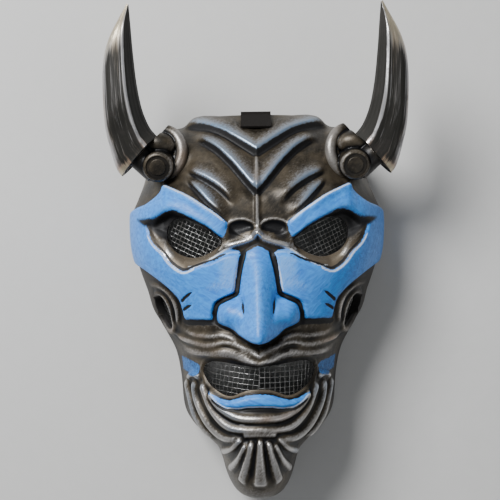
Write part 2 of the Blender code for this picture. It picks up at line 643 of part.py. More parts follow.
def stem_parts(side):
    """The lumps of knuckle in a collar that carry the horn, and what is cut out of them."""
    seat, axis = seat_frame(side)
    base, out = horn_base(side)
    face = Vector((0.05 * side, -0.24, 0.97)).normalized()
    knob_foot = seat + Vector((0.6 * side, -5.5, -4.0))
    added = (
        collar(side),
        rod(f"boss_{side}", seat - axis * 9.0, axis, COLLAR_RADIUS - 1.5, 9.8, 18),
        rod(f"stem_{side}", base - out * 16.0, out, STEM_RADIUS, 17.0, 20),
        lobe(f"upper_{side}", seat + Vector((1.5 * side, 6.5, 5.0)), (12.5, 8.2, 9.0), 0.12 * side),
        rod(f"knob_{side}", knob_foot, face, KNOB_RADIUS, 23.0, 20, 2.4),
    )
    taken = (
        rod(f"dish_{side}", knob_foot + face * (23.0 - KNOB_DISH_DEPTH), face, KNOB_DISH, 6.0, 20),
        rod(f"beyond_{side}", base - out * HORN_JOINT, out, 40.0, 30.0, 24),
        rod(f"bore_{side}", base - out * (DOWEL_LENGTH + 2 * HORN_JOINT), out, DOWEL_RADIUS + DOWEL_CLEARANCE, 20.0, 20),
    )
    return [as_cutter(obj) for obj in added], [as_cutter(obj) for obj in taken]


def horn(name, side, finish):
    """A horn with a dowel on its diagonal base."""
    base, out = horn_base(side)
    rings = horn_rings(base, side)
    count = len(rings[0])
    vertices = [p for ring in rings for p in ring]
    faces = [(r * count + i, r * count + (i + 1) % count, (r + 1) * count + (i + 1) % count, (r + 1) * count + i)
             for r in range(len(rings) - 1) for i in range(count)]
    faces += [tuple(range(count)), tuple(range(len(vertices) - count, len(vertices)))]
    obj = mesh_object(name, vertices, faces)
    set_outward(obj)
    boolean(obj, as_cutter(rod(name + "_dowel", base - out * DOWEL_LENGTH, out, DOWEL_RADIUS, 16.0, 20)), "UNION")
    obj.data.materials.append(finish)
    obj.data.shade_smooth()
    obj.data.set_sharp_from_angle(angle=math.radians(35))
    return obj


def back_cut():
    """A wedge that lifts the rim off the ground behind the forehead."""
    start = BACK_RIM_START * STRETCH[1]
    end = TOP_END * STRETCH[1] + 10.0
    lift = BACK_RIM_LIFT * (end - start) / (TOP_END * STRETCH[1] - start)
    side = FACE_WIDTH
    profile = ((start, -8.0), (start, 0.0), (end, lift), (end, -8.0))
    vertices = [(x, y, z) for x in (-side, side) for y, z in profile]
    faces = [(0, 1, 2, 3), (7, 6, 5, 4), (0, 4, 5, 1), (1, 5, 6, 2), (2, 6, 7, 3), (3, 7, 4, 0)]
    obj = mesh_object("back_cut", vertices, faces)
    set_outward(obj)
    return as_cutter(obj)


def eye_bar(name, side, by):
    """A bar through an eye opening, its outline moved out by that much."""
    outline = grown(closed_line(EYE_HOLE, 1 if by else 2), by)
    return prism(name, outline * (side, 1) * STRETCH[:2], 20.0, FACE_DEPTH * 2)


def mouth_bar(name, by):
    """A bar through the mouth."""
    return prism(name, grown(mouth_outline(1 if by else 2), by) * STRETCH[:2], 20.0, FACE_DEPTH * 2)


def vent_bar(name, side, by):
    """A leaning oval bar through the side of the face by the ear."""
    x, y = VENT_CENTRE
    across, height, _ = section(y)
    places = np.array((x - 5.0, x, x + 5.0))
    heights = np.interp(places, across, height)
    heights = heights + main_form(places, np.full(3, y), heights)
    run = Vector((10.0, 0.0, float(heights[2] - heights[0])))
    out = Vector((-run.z, 0.0, run.x)).normalized()
    along = run.normalized()
    centre = Vector((x, y, float(heights[1])))
    ends = []
    for reach in (-20.0, 24.0):
        for turn in np.linspace(0.0, 2 * math.pi, 18, endpoint=False):
            a = (VENT_RADII[0] + by) * math.cos(turn)
            b = (VENT_RADII[1] + by) * math.sin(turn)
            lean = (a * math.cos(VENT_LEAN) + b * math.sin(VENT_LEAN), b * math.cos(VENT_LEAN) - a * math.sin(VENT_LEAN))
            point = centre + out * reach + along * lean[0] + Vector((0.0, lean[1], 0.0))
            ends.append((side * point.x * STRETCH[0], point.y * STRETCH[1], point.z * STRETCH[2]))
    count = 18
    faces = [(i, (i + 1) % count, count + (i + 1) % count, count + i) for i in range(count)]
    faces += [tuple(range(count)), tuple(range(count, 2 * count))]
    obj = mesh_object(name, ends, faces)
    set_outward(obj)
    return as_cutter(obj)


def mask_shell(finish):
    """The cast face: carved outside, hollow behind, with its openings and horn seats."""
    shell = grid_solid("mask_shell", carved_grid(row_places(), COLUMNS))
    thin = shell.modifiers.new("thin", "DECIMATE")
    thin.ratio = KEPT_SHARE
    thin.use_symmetry = True
    thin.symmetry_axis = "X"
    stems = [stem_parts(side) for side in (-1, 1)]
    for added, _ in stems:
        for part in added:
            boolean(shell, part, "UNION")
    boolean(shell, hollow("cavity", WALL, -6.0), "DIFFERENCE")
    boolean(shell, back_cut(), "DIFFERENCE")
    boolean(shell, mouth_bar("mouth_cut", 0.0), "DIFFERENCE")
    for side in (-1, 1):
        boolean(shell, eye_bar(f"eye_cut_{side}", side, 0.0), "DIFFERENCE")
        boolean(shell, vent_bar(f"vent_cut_{side}", side, 0.0), "DIFFERENCE")
    for _, taken in stems:
        for part in taken:
            boolean(shell, part, "DIFFERENCE")
    shell.data.materials.append(finish)
    shell.data.shade_smooth()
    shell.data.set_sharp_from_angle(angle=math.radians(40))
    return shell


def strap_tab(finish):
    """A webbing tab folded over the top rim."""
    columns = np.linspace(-0.5, 0.5, 5) * STRAP_WIDTH
    top = TOP_END * STRETCH[1]
    front = np.linspace(top - STRAP_FRONT_LEG, top - 0.2, 4)
    back = np.linspace(top - 0.2, top - STRAP_BACK_LEG, 5)

    def heights(y, wall):
        return station(y / STRETCH[1])[1] * STRETCH[2] - wall

    near, far = [], []
    t = STRAP_THICKNESS
    for x in columns:
        outer = [(y, heights(y, 0.0) + STRAP_RISE) for y in front]
        inner = [(y, heights(y, WALL) - STRAP_GAP - 1.8) for y in back]
        edge = top + STRAP_GAP
        near += [(x, y, z) for y, z in outer] + [(x, edge, outer[-1][1]), (x, edge, inner[0][1])]
        near += [(x, y, z) for y, z in inner]
        far += [(x, y, z + t) for y, z in outer] + [(x, edge + t, outer[-1][1] + t), (x, edge + t, inner[0][1] - t)]
        far += [(x, y, z - t) for y, z in inner]
    per = len(front) + 2 + len(back)
    total = per * len(columns)
    top_faces = [(c * per + i, c * per + i + 1, (c + 1) * per + i + 1, (c + 1) * per + i)
                 for c in range(len(columns) - 1) for i in range(per - 1)]
    bottom = [tuple(total + k for k in reversed(face)) for face in top_faces]
    loop = list(range(per)) + [c * per + per - 1 for c in range(1, len(columns))]
    loop += [(len(columns) - 1) * per + i for i in range(per - 2, -1, -1)]
    loop += [c * per for c in range(len(columns) - 2, 0, -1)]
    edge_faces = [(a, total + a, total + b, b) for a, b in zip(loop, loop[1:] + loop[:1])]
    obj = mesh_object("strap_tab", near + far, top_faces + bottom + edge_faces)
    set_outward(obj)
    obj.data.materials.append(finish)
    return obj


def main():
    for obj in list(bpy.data.objects):
        bpy.data.objects.remove(obj, do_unlink=True)
    cast = material("painted_resin", (0.10, 0.09, 0.085), 0.38, 0.6)
    silver = material("silvered_horn", (0.42, 0.40, 0.38), 0.35, 0.8)
    wire = material("screen_wire", (0.5, 0.5, 0.48), 0.4, 0.9)
    webbing = material("strap_webbing", (0.02, 0.018, 0.016), 0.85, 0.0)
    mask_shell(cast)
    for side, word in ((-1, "left"), (1, "right")):
        horn(f"horn_{word}", side, silver)
        screen(f"eye_screen_{word}", eye_bar(f"eye_trim_{word}", side, SCREEN_LAP), wire)
        screen(f"vent_screen_{word}", vent_bar(f"vent_trim_{word}", side, SCREEN_LAP), wire)
    screen("mouth_screen", mouth_bar("mouth_trim", SCREEN_LAP), wire)
    strap_tab(webbing)


main()
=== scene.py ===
"""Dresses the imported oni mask: carved and painted face, horns, collars, woven wire and strap tab.

The forms are drawn for one half of the face, in millimetres, and mirrored. +X is the viewer's right,
+Y runs from the chin to the horn tips and +Z points out of the face.
"""

import math
from types import SimpleNamespace

import bmesh
import bpy
import numpy as np
from mathutils import Matrix, Vector
from mathutils.kdtree import KDTree


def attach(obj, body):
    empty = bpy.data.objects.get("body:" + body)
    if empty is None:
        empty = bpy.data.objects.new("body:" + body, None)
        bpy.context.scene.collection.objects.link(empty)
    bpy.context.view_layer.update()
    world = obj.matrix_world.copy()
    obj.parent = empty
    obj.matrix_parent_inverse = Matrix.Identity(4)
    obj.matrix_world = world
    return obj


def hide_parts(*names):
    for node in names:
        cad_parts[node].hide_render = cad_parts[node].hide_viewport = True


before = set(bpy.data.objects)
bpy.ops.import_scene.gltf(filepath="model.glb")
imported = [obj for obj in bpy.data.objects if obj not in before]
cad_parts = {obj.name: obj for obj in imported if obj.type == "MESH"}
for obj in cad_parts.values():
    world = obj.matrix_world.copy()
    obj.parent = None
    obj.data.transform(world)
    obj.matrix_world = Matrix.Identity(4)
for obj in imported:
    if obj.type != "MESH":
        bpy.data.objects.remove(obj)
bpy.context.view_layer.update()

MM = 0.001

# The face, in millimetres
WALL = 4.0
NOSE_RISE = 33.0
SOCKET_DEPTH = 9.0
TEMPLE_RISE = 15.0
EAR_RISE = 11.0
BACK_RIM_LIFT = 40.0
BACK_RIM_START = 48.0
CUTTER_LOW = 20.0
CUTTER_HIGH = 160.0
CHIN_END = -172.0
TOP_END = 100.0
PLATE_RISE = 2.4
PLATE_GROOVE = 1.5
FACET_RISE = 1.5
BROW_KNOT_RISE = 2.4
FROWN_DEPTH = 2.3
LIP_RISE = 3.2
MOUTH_RIM_RISE = 1.1
VENT_RING_RISE = 2.6
OPENING_ROUND = 1.3
CARVING_FADE = 14.0
FORM_FADE = 12.0

# The horns
HORN_THICKNESS = 0.72
HORN_FORWARD = 20.0
HORN_LIFT = 7.0
HORN_INSET = 0.03
STEM_RADIUS = 9.0
COLLAR_RADIUS = 16.6
COLLAR_BAND = 3.9
KNOB_RADIUS = 10.4
KNOB_DISH = 8.2
KNOB_DISH_DEPTH = 1.3
KNOB_LENGTH = 22.8

# The screens and the strap
SCREEN_LAP = 3.0
SCREEN_GAP = 0.45
WIRE_RADIUS = 0.17
WIRE_STAND_OFF = 0.4
STRAP_WIDTH = 21.0
STRAP_THICKNESS = 1.6
STRAP_FRONT_LEG = 10.0
STRAP_BACK_LEG = 26.0
STRAP_GAP = 0.5
STRAP_RISE = 3.2
STRAP_TURN = 0.9
STRAP_UNDER = 1.8

# Mesh density
ROWS = 286
HALF_COLUMNS = 151
NOSE_SHARE = 0.2
FRONT_SHARE = 0.86
FRONT_REACH = 0.95
SECTION_STEPS = 240
CAVITY_ROWS = 52
CAVITY_COLUMNS = 19
HORN_RINGS = 150
HORN_SIDES = 84
CREST_ROUNDS = 12
CREST_GAIN = 2.5

# Along the face: place, half width, crown, and how square the section is at the side and the crown
STATIONS = (
    (-172.0, 9.0, 40.0, 2.2, 2.2),
    (-170.5, 15.0, 54.0, 2.2, 2.2),
    (-167.0, 20.0, 67.0, 2.2, 2.2),
    (-158.0, 24.5, 78.0, 2.2, 2.2),
    (-146.0, 28.0, 84.0, 2.2, 2.1),
    (-137.0, 32.0, 86.5, 2.2, 2.0),
    (-128.0, 41.5, 88.0, 2.2, 2.0),
    (-119.0, 50.5, 88.5, 2.2, 2.0),
    (-108.0, 55.5, 90.0, 2.2, 2.0),
    (-86.0, 57.5, 91.0, 2.2, 2.1),
    (-68.0, 61.2, 91.5, 2.3, 2.1),
    (-52.0, 69.2, 92.0, 2.3, 2.2),
    (-38.0, 76.3, 92.5, 2.3, 2.2),
    (-24.0, 81.4, 93.0, 2.6, 2.3),
    (-8.0, 86.8, 94.0, 3.0, 2.4),
    (5.0, 90.3, 94.5, 3.2, 2.4),
    (20.0, 91.5, 95.0, 3.2, 2.4),
    (33.0, 91.0, 94.0, 3.1, 2.4),
    (42.0, 87.6, 92.0, 2.8, 2.4),
    (54.0, 83.2, 87.0, 2.6, 2.3),
    (70.0, 78.6, 78.0, 2.6, 2.3),
    (84.0, 69.5, 68.0, 2.5, 2.2),
    (94.0, 60.0, 58.5, 2.5, 2.2),
    (100.0, 48.0, 51.0, 2.5, 2.2),
)

# Openings, each as the half or whole outline seen from the front
EYE_HOLE = ((24.5, 10.5), (31.5, 17.2), (41.5, 23.6), (50.5, 27.0), (58.0, 25.4), (62.0, 19.5), (61.8, 12.0),
            (57.5, 5.0), (50.5, 0.8), (43.0, -0.4), (35.5, 1.4), (28.5, 5.4))
MOUTH_TOP = ((0.0, -74.8), (12.0, -73.4), (23.0, -71.6), (32.0, -71.4), (37.0, -74.0))
MOUTH_END = ((37.0, -74.0), (38.4, -78.4), (36.6, -83.4), (33.4, -88.0))
MOUTH_LOW = ((33.4, -88.0), (29.0, -91.4), (24.0, -94.0), (18.5, -94.6),
             (13.0, -92.4), (7.0, -90.4), (0.0, -90.0))
VENT_CENTRE = (65.5, -38.5)
VENT_RADII = (9.4, 11.4)
VENT_LEAN = math.radians(14)
VENT_SIDES = 44
VENT_CUTTER_START = 20.0
VENT_CUTTER_LENGTH = 44.0

# Edges of the raised cheek and brow plate, one half, in order round the eye
BROW_TOP = ((20.0, 23.0), (28.3, 29.8), (38.3, 36.5), (48.3, 42.4), (61.8, 48.8))
TEMPLE_EDGE = ((61.8, 48.8), (68.1, 42.8), (76.0, 37.4), (84.4, 35.1), (90.9, 33.5))
SIDE_EDGE = ((90.9, 33.5), (91.4, 20.0), (90.2, 4.0), (86.6, -5.0))
CHEEK_OUTER = ((86.6, -5.0), (78.9, -8.5), (71.2, -13.4), (63.5, -19.0), (57.4, -24.6),
                (53.2, -30.3), (49.8, -43.0))
CHEEK_LOW = ((49.8, -43.0), (31.2, -42.8))
NASAL_EDGE = ((31.2, -42.8), (30.3, -36.3), (28.5, -30.8), (24.4, -28.1), (18.1, -25.3), (15.7, -23.2),
              (13.9, -12.3), (12.3, -4.9), (10.3, 1.5))
LID_EDGE = ((10.3, 1.5), (17.5, 2.3), (24.0, 0.4), (29.2, -2.2), (34.7, -4.0), (43.9, -7.2), (49.6, -9.0),
            (54.4, -6.9), (59.3, -2.7), (64.0, 3.5), (70.9, 10.5), (74.4, 17.5), (75.4, 22.3))
BROW_LOW = ((75.4, 22.3), (69.9, 26.2), (65.0, 29.7), (59.5, 31.8), (54.1, 30.8), (44.4, 25.6), (32.1, 18.7),
            (24.6, 12.7), (21.2, 16.5), (20.0, 23.0))

# Crest lines of the carving, from the midline outwards
FOREHEAD_FOLDS = (
    ((0.0, 71.9), (12.2, 79.9), (23.2, 86.7), (35.5, 91.6), (44.8, 93.6), (52.0, 92.0)),
    ((0.0, 44.2), (5.0, 49.6), (11.1, 57.2), (17.2, 64.6), (26.2, 73.7), (35.3, 79.8), (44.0, 82.8)),
    ((14.3, 35.0), (23.3, 45.3), (32.4, 52.0), (41.3, 56.8), (48.5, 61.0)),
    ((20.4, 25.9), (24.6, 30.2), (32.5, 37.4), (41.4, 47.1), (48.0, 54.5)),
)
CROWN_FOLD = ((5.0, 80.0), (13.0, 89.0), (17.5, 97.5))
MIDLINE = ((0.0, 73.0), (0.0, 20.0))
BRIDGE_FOLD = ((0.0, 16.5), (4.3, 12.5), (9.7, 10.2), (17.1, 8.2), (24.0, 5.5))
FROWN_HOLLOW = ((2.0, 18.5), (3.6, 22.6), (9.6, 24.8), (17.0, 23.7), (19.6, 20.7), (18.0, 14.6), (11.7, 15.2))
NOSE_EDGE = ((0.0, 8.2), (5.0, 5.8), (10.3, 1.5), (13.0, -12.3), (14.6, -22.5), (17.5, -25.0), (24.0, -28.8),
             (28.0, -32.4), (29.4, -37.8), (28.6, -43.1), (26.2, -46.0), (18.4, -49.2), (12.4, -53.7),
             (5.5, -57.4), (0.0, -58.6))
NOSE_CREASE = ((9.4, -43.5), (10.4, -37.2), (11.6, -28.5), (14.2, -21.4))
LIP_FOLDS = (
    ((10.7, -58.4), (18.5, -54.6), (25.3, -53.2), (32.3, -54.1), (44.4, -53.0), (53.0, -49.6)),
    ((0.0, -66.6), (10.7, -61.5), (18.4, -58.9), (23.5, -58.3), (32.2, -59.6), (42.5, -58.8), (52.7, -56.4),
     (61.0, -50.5)),
    ((0.0, -70.6), (6.5, -69.0), (15.0, -65.4), (23.6, -64.2), (32.2, -64.4), (45.0, -64.0), (54.0, -63.0)),
)
LOWER_LIP = ((0.0, -92.8), (7.0, -93.4), (14.0, -95.6), (20.0, -97.4), (26.3, -96.2),
             (34.6, -91.4), (31.6, -95.0), (27.6, -99.2), (22.4, -102.4),
             (15.5, -103.2), (8.7, -102.2), (0.0, -101.8))
JAW_FOLDS = (
    ((50.0, -84.5), (49.6, -91.3), (47.9, -98.7), (44.4, -110.3), (37.6, -120.1), (30.1, -126.8)),
    ((44.6, -83.6), (43.6, -97.1), (39.1, -108.5), (32.2, -118.2), (24.3, -123.4),
     (15.0, -123.6), (9.0, -120.6)),
    ((39.6, -85.5), (36.4, -94.8), (32.7, -103.5), (26.5, -111.3), (19.5, -116.0),
     (9.5, -117.2), (0.0, -117.0)),
    ((34.5, -92.0), (28.2, -101.0), (20.9, -106.2), (12.4, -109.3), (0.0, -109.9)),
)
JAW_KNUCKLE = ((49.5, -86.5), (47.6, -83.0), (43.6, -81.8), (39.6, -84.4))
CHIN_FLUTES = (
    ((0.0, -121.0), (0.0, -158.5)),
    ((5.0, -123.0), (8.4, -140.0), (12.6, -156.5)),
    ((8.6, -124.5), (13.8, -138.0), (20.0, -148.0)),
    ((10.6, -122.0), (17.5, -129.4), (25.0, -135.2)),
)
CHIN_BAR = ((0.0, -120.4), (11.6, -120.4))
EAR_RIM = ((58.0, -49.5), (55.4, -41.6), (56.8, -32.3), (61.6, -24.3), (68.2, -19.9), (77.5, -19.0))
COLLAR_CENTRE = (66.0, 72.5)
SEAT_AXIS = (0.40, 0.10, 0.91)

# Painted lines and patches, one half
SCRATCHES = (((52.3, -30.6), (47.5, -25.8), (42.3, -21.8)), ((50.7, -36.3), (47.5, -33.5), (43.3, -31.4)))
SIDE_PATCH = ((55.5, -69.0), (43.0, -72.4), (40.6, -75.0), (41.2, -82.5), (44.5, -83.6), (54.0, -80.6))
LID_STRIP = ((10.3, 1.5), (17.5, 2.3), (24.0, 0.4), (29.2, -2.2), (34.7, -4.0), (43.9, -7.2), (47.0, -6.6),
             (40.0, -5.6), (33.5, -2.4), (26.0, 2.4), (20.0, 5.6), (13.0, 4.4))
BROW_FACET = ((61.8, 48.8), (61.2, 40.0), (59.5, 31.8))
TEMPLE_STREAK = ((88.0, 30.0), (88.8, 16.0), (87.0, 3.0))
EYE_CREASE = ((61.0, 17.5), (67.2, 19.7), (72.6, 22.1), (78.1, 24.5))
MAKE_UP = ((24.0, 12.5), (31.0, 18.6), (44.0, 26.2), (53.6, 31.0), (62.0, 30.6), (70.0, 27.0), (82.0, 26.5),
           (74.0, 20.5), (66.0, 13.5), (61.5, 12.0), (62.5, 21.0), (57.5, 26.5), (50.5, 27.4), (41.5, 24.0))

# The horn's two edges seen from the front, base to tip, where the base centre is the zero
HORN_INNER = ((-12.8, 14.0), (-7.6, 20.5), (-3.0, 32.3), (-0.1, 48.6), (1.9, 69.4), (3.2, 87.7), (4.4, 101.0))
HORN_OUTER = ((12.8, -14.0), (16.5, -7.4), (20.2, 6.3), (22.9, 22.5), (23.2, 54.8),
              (18.8, 76.3), (5.8, 101.8))
HORN_BASE = (80.8, 70.2)


# Carved folds: line, rise, reach behind the crest, the undercut's width, depth and reach, faded start and end
FOLDS = (
    *((line, rise, back, 1.7, 1.5, 7.0, start, 0.2) for line, rise, back, start in
      zip(FOREHEAD_FOLDS, (3.8, 3.8, 3.2, 2.0), (15.0, 13.2, 11.4, 9.6), (0.0, 0.0, 0.25, 0.25))),
    (BROW_TOP, 2.0, 7.0, 6.0, 0.0, 1.0, 0.25, 0.0),
    (LIP_FOLDS[1], 2.7, 4.2, 2.8, 0.8, 2.5, 0.0, 0.25),
)
# Ridges, or grooves below 0: line, rise, half width at start and end, faded start and end, flat share
RIDGES = (
    (CROWN_FOLD, 0.9, 1.6, 1.6, 0.3, 0.2, 0.0),
    (MIDLINE, 2.0, 2.4, 2.4, 0.1, 0.1, 0.0),
    (BRIDGE_FOLD, 2.8, 3.4, 3.4, 0.0, 0.25, 0.0),
    (FROWN_HOLLOW[1:5], 0.9, 1.5, 1.5, 0.15, 0.2, 0.0),
    (LID_EDGE[3:], 0.9, 1.6, 1.6, 0.2, 0.3, 0.0),
    (NOSE_CREASE, -1.7, 2.2, 2.2, 0.3, 0.3, 0.0),
    (EYE_CREASE, -1.2, 1.0, 1.0, 0.0, 0.3, 0.0),
    *((line, -1.3, 1.1, 0.8, 0.1, 0.3, 0.0) for line in SCRATCHES),
    (LIP_FOLDS[0], 2.0, 3.0, 3.0, 0.15, 0.3, 0.0),
    (LIP_FOLDS[2], 3.0, 5.4, 5.4, 0.0, 0.35, 0.3),
    (EAR_RIM, 2.6, 2.8, 2.8, 0.2, 0.25, 0.0),
)
# The same for the jaw and the chin, where only the highest ridge counts
JAW_RIDGES = (
    *((line, 3.3, 4.6, 4.6, 0.08, end, 0.15) for line, end in zip(JAW_FOLDS, (0.15, 0.15, 0.0, 0.0))),
    (JAW_KNUCKLE, 3.2, 3.4, 3.4, 0.2, 0.2, 0.1),
    (CHIN_BAR, 3.0, 3.6, 3.6, 0.0, 0.15, 0.2),
    *((line, 3.4, 2.5, wide, 0.14, 0.12, 0.35) for line, wide in zip(CHIN_FLUTES, (6.2, 5.6, 4.6, 3.6))),
)
# Painted lines: line, half width, shift to its left, faded start and end
INK_AND_SHADOW_LINES = (
    (NASAL_EDGE, 1.3, 1.1, 0.0, 0.0),
    (CHEEK_LOW, 2.2, 1.6, 0.0, 0.0),
    (NOSE_EDGE[8:], 1.3, 0.4, 0.0, 0.0),
    (NOSE_EDGE[:4], 0.8, 0.5, 0.0, 0.0),
    (LID_EDGE[1:], 0.75, 0.9, 0.1, 0.35),
    (BROW_LOW[2:8], 1.5, 0.8, 0.3, 0.2),
    (EYE_CREASE, 0.9, 0.0, 0.0, 0.5),
    (NOSE_CREASE, 0.8, 0.0, 0.5, 0.6),
    (LOWER_LIP[6:], 0.8, 0.9, 0.1, 0.0),
    *((line, 1.15, 0.0, 0.15, 0.4) for line in SCRATCHES),
    # Painted shadow lines under the crests of the forehead folds
    *((line, 1.25, -1.3, 0.0, 0.35) for line in FOREHEAD_FOLDS[:2]),
    *((line, 0.9, -1.3, 0.3, 0.35) for line in FOREHEAD_FOLDS[2:]),
)
WHITE_LINES = (
    (BROW_TOP, 1.6, -0.9, 0.1, 0.0),
    (LID_EDGE[5:], 1.4, -1.1, 0.0, 0.25),
    (LID_STRIP[6:], 1.3, 0.0, 0.0, 0.2),
    (NASAL_EDGE[4:], 1.2, -0.9, 0.3, 0.2),
    (LOWER_LIP[6:], 1.2, -0.6, 0.0, 0.0),
)


def ramp(t):
    """0 below 0, 1 above 1, and a smooth step between."""
    t = np.clip(t, 0.0, 1.0)
    return t * t * (3.0 - 2.0 * t)


def faded(t):
    """1 below 0, 0 above 1, and a smooth step between."""
    return 1.0 - ramp(t)


def smooth_line(points, steps=6):
    """Points along a Catmull-Rom curve through the given ones."""
    p = np.array(points, float)
    p = np.vstack([2 * p[0] - p[1], p, 2 * p[-1] - p[-2]])
    t = np.linspace(0.0, 1.0, steps, endpoint=False)[:, None]
    runs = []
    for a, b, c, d in zip(p[:-3], p[1:-2], p[2:-1], p[3:]):
        runs.append(0.5 * (2 * b + (c - a) * t + (2 * a - 5 * b + 4 * c - d) * t**2
                           + (3 * b - a - 3 * c + d) * t**3))
    return np.vstack(runs + [p[-2][None]])


STATION_CURVE = smooth_line(STATIONS)


def station(y):
    """Half width, crown and the two powers of the section at that place."""
    return [np.interp(y, STATION_CURVE[:, 0], STATION_CURVE[:, i]) for i in (1, 2, 3, 4)]


def section(y, wall=0.0):
    """Half of the section at y, from the midline to the rim: across, height and length along the skin."""
    inner = wall > 0.0
    along = max(y - wall * float(inner and y < -120.0), CHIN_END)
    half, crown, side, top = station(along)
    half = half - wall
    crown = crown - wall
    turn = np.linspace(0.0, math.pi / 2, SECTION_STEPS)
    across = half * np.sin(turn) ** (2.0 / side)
    height = crown * np.cos(turn) ** (2.0 / top)
    height[-1] = 0.0
    length = np.concatenate([[0.0], np.cumsum(np.hypot(np.diff(across), np.diff(height)))])
    return across, height, length


def on_skin(points):
    """A front view line as (length along the skin from the midline, y)."""
    line = []
    for x, y in points:
        across, _, length = section(y)
        line.append((np.interp(min(x, 0.998 * across[-1]), across, length), y))
    return np.array(line)


def measure(line, u, v):
    """Distance from (u, v) to a line, positive on its left, and how far along the line, 0 to 1."""
    best = np.full(u.shape, 1e9)
    sign = np.ones(u.shape)
    share = np.zeros(u.shape)
    steps = np.hypot(*np.diff(line, axis=0).T)
    total = steps.sum()
    run = 0.0
    for (ax, ay), (bx, by), size in zip(line[:-1], line[1:], steps):
        dx, dy = bx - ax, by - ay
        t = np.clip(((u - ax) * dx + (v - ay) * dy) / max(size * size, 1e-9), 0.0, 1.0)
        gap = np.hypot(u - ax - t * dx, v - ay - t * dy)
        near = gap < best - 1e-9
        best = np.where(near, gap, best)
        sign = np.where(near, np.sign(dx * (v - ay) - dy * (u - ax)), sign)
        share = np.where(near, (run + t * size) / total, share)
        run += size
    return best * np.where(sign == 0, 1.0, sign), share


def inside(outline, u, v):
    """Distance inward from a closed outline, negative outside."""
    ring = np.vstack([outline, outline[:1]])
    gap = np.abs(measure(ring, u, v)[0])
    crossings = np.zeros(u.shape, int)
    for (ax, ay), (bx, by) in zip(ring[:-1], ring[1:]):
        spans = (ay > v) != (by > v)
        at = ax + (v - ay) / (by - ay if by != ay else 1e-9) * (bx - ax)
        crossings += spans & (u < at)
    return np.where(crossings % 2 == 1, gap, -gap)


def fade_ends(share, start, end):
    """1 along a line, and falling to 0 over a share of it at each end."""
    up = ramp(share / start) if start else 1.0
    down = ramp((1.0 - share) / end) if end else 1.0
    return up * down


def from_line(points, u, v):
    """Distance beside a drawn line, positive on its left, and the share of the way along it."""
    return measure(on_skin(smooth_line(points)), u, v)


def fold(u, v, points, rise, back, fall, drop, recover, start, end):
    """A lapped fold: it swells to a crest on the line's left and is undercut on its right."""
    gap, share = from_line(points, u, v)
    below = -gap
    cliff = rise - (rise + drop) * ramp(below / fall)
    foot = -drop * faded((below - fall) / recover)
    shape = np.where(gap >= 0, rise * faded(gap / back), np.where(below < fall, cliff, foot))
    return shape * fade_ends(share, start, end)


def ridge(u, v, points, rise, half, half_end, start, end, flat):
    """A rounded ridge, or a groove where rise is negative, whose half width may change along it."""
    gap, share = from_line(points, u, v)
    width = half + (half_end - half) * share
    return rise * faded((np.abs(gap) / width - flat) / (1.0 - flat)) * fade_ends(share, start, end)


def plate_outline():
    """The raised brow and cheek plate, which runs round the eye."""
    edges = (BROW_TOP, TEMPLE_EDGE, SIDE_EDGE, CHEEK_OUTER, CHEEK_LOW, NASAL_EDGE, LID_EDGE, BROW_LOW)
    return np.vstack([smooth_line(edge, 4)[:-1] for edge in edges])


def eye_outline():
    """The hollow between the brow and the lid."""
    return np.vstack([smooth_line(LID_EDGE[3:], 4)[:-1], smooth_line(BROW_LOW[:-2], 4)])


def nose_height(x, y, thin=0.0):
    """How far the nose and its wings stand out of the face, less a wall that is taken off all round."""
    places = (-62.5, -61.0, -58.5, -55.5, -52.0, -46.0, -35.0, -22.0, -10.0, 0.0, 9.0)
    rises = (0.0, 0.42, 0.84, 0.98, 1.0, 0.93, 0.76, 0.55, 0.34, 0.15, 0.0)
    crest = np.interp(y - 2.6 * thin, places, rises) * NOSE_RISE
    half = np.interp(y, (-60.0, -52.0, -40.0, -22.0, 0.0, 9.0), (12.0, 19.0, 17.0, 13.6, 10.5, 7.0)) - thin
    spread = np.sqrt(x * x + 2.6**2) - 2.6
    body = (crest - 2.0 * thin) * np.clip(1.0 - (spread / np.maximum(half, 1.0)) ** 1.15, 0.0, 1.0)
    if thin:
        return np.maximum(body, 0.0)
    wing = 13.5 * np.clip(1.0 - ((x - 19.0) / 11.3) ** 2 - ((y + 38.5) / 11.8) ** 2, 0.0, 1.0) ** 0.72
    outline = smooth_line(NOSE_EDGE, 4)
    mirrored = np.vstack([outline, outline[::-1] * (-1, 1)])
    shoulder = ramp((inside(mirrored, x, y) + 1.5) / 3.6)
    return np.sqrt(body**2 + wing**2 + 1e-9) * shoulder


def seat_height():
    """How high the middle of a horn's seat lies."""
    across, height, _ = section(COLLAR_CENTRE[1])
    return float(np.interp(COLLAR_CENTRE[0], across, height)) + TEMPLE_RISE


def temple_lift(x, y, z):
    """What raises the temple to a tilted flat seat under each collar."""
    out, up = x - COLLAR_CENTRE[0], y - COLLAR_CENTRE[1]
    seat = seat_height() - (SEAT_AXIS[0] * out + SEAT_AXIS[1] * up) / SEAT_AXIS[2]
    share = faded((np.hypot(out, up) - 13.0) / 12.0) * faded((x - 70.0) / 7.0)
    return share * (seat - z)


def ear_height(x, y):
    """The swelling outside each vent, which turns the vent to the front."""
    reach = np.hypot((x - 76.0) / 9.5, (y - VENT_CENTRE[1]) / 19.0)
    return EAR_RISE * faded(reach)


def eye_depth(x, y):
    """The socket, steep under the brow and shallow towards the lid."""
    within = inside(eye_outline(), x, y)
    from_brow = np.abs(measure(smooth_line(BROW_LOW[:-2], 4), x, y)[0])
    from_lid = np.abs(measure(smooth_line(LID_EDGE[2:], 4), x, y)[0])
    return -SOCKET_DEPTH * ramp(from_brow / 4.0) * ramp(from_lid / 12.0) * (within > 0)


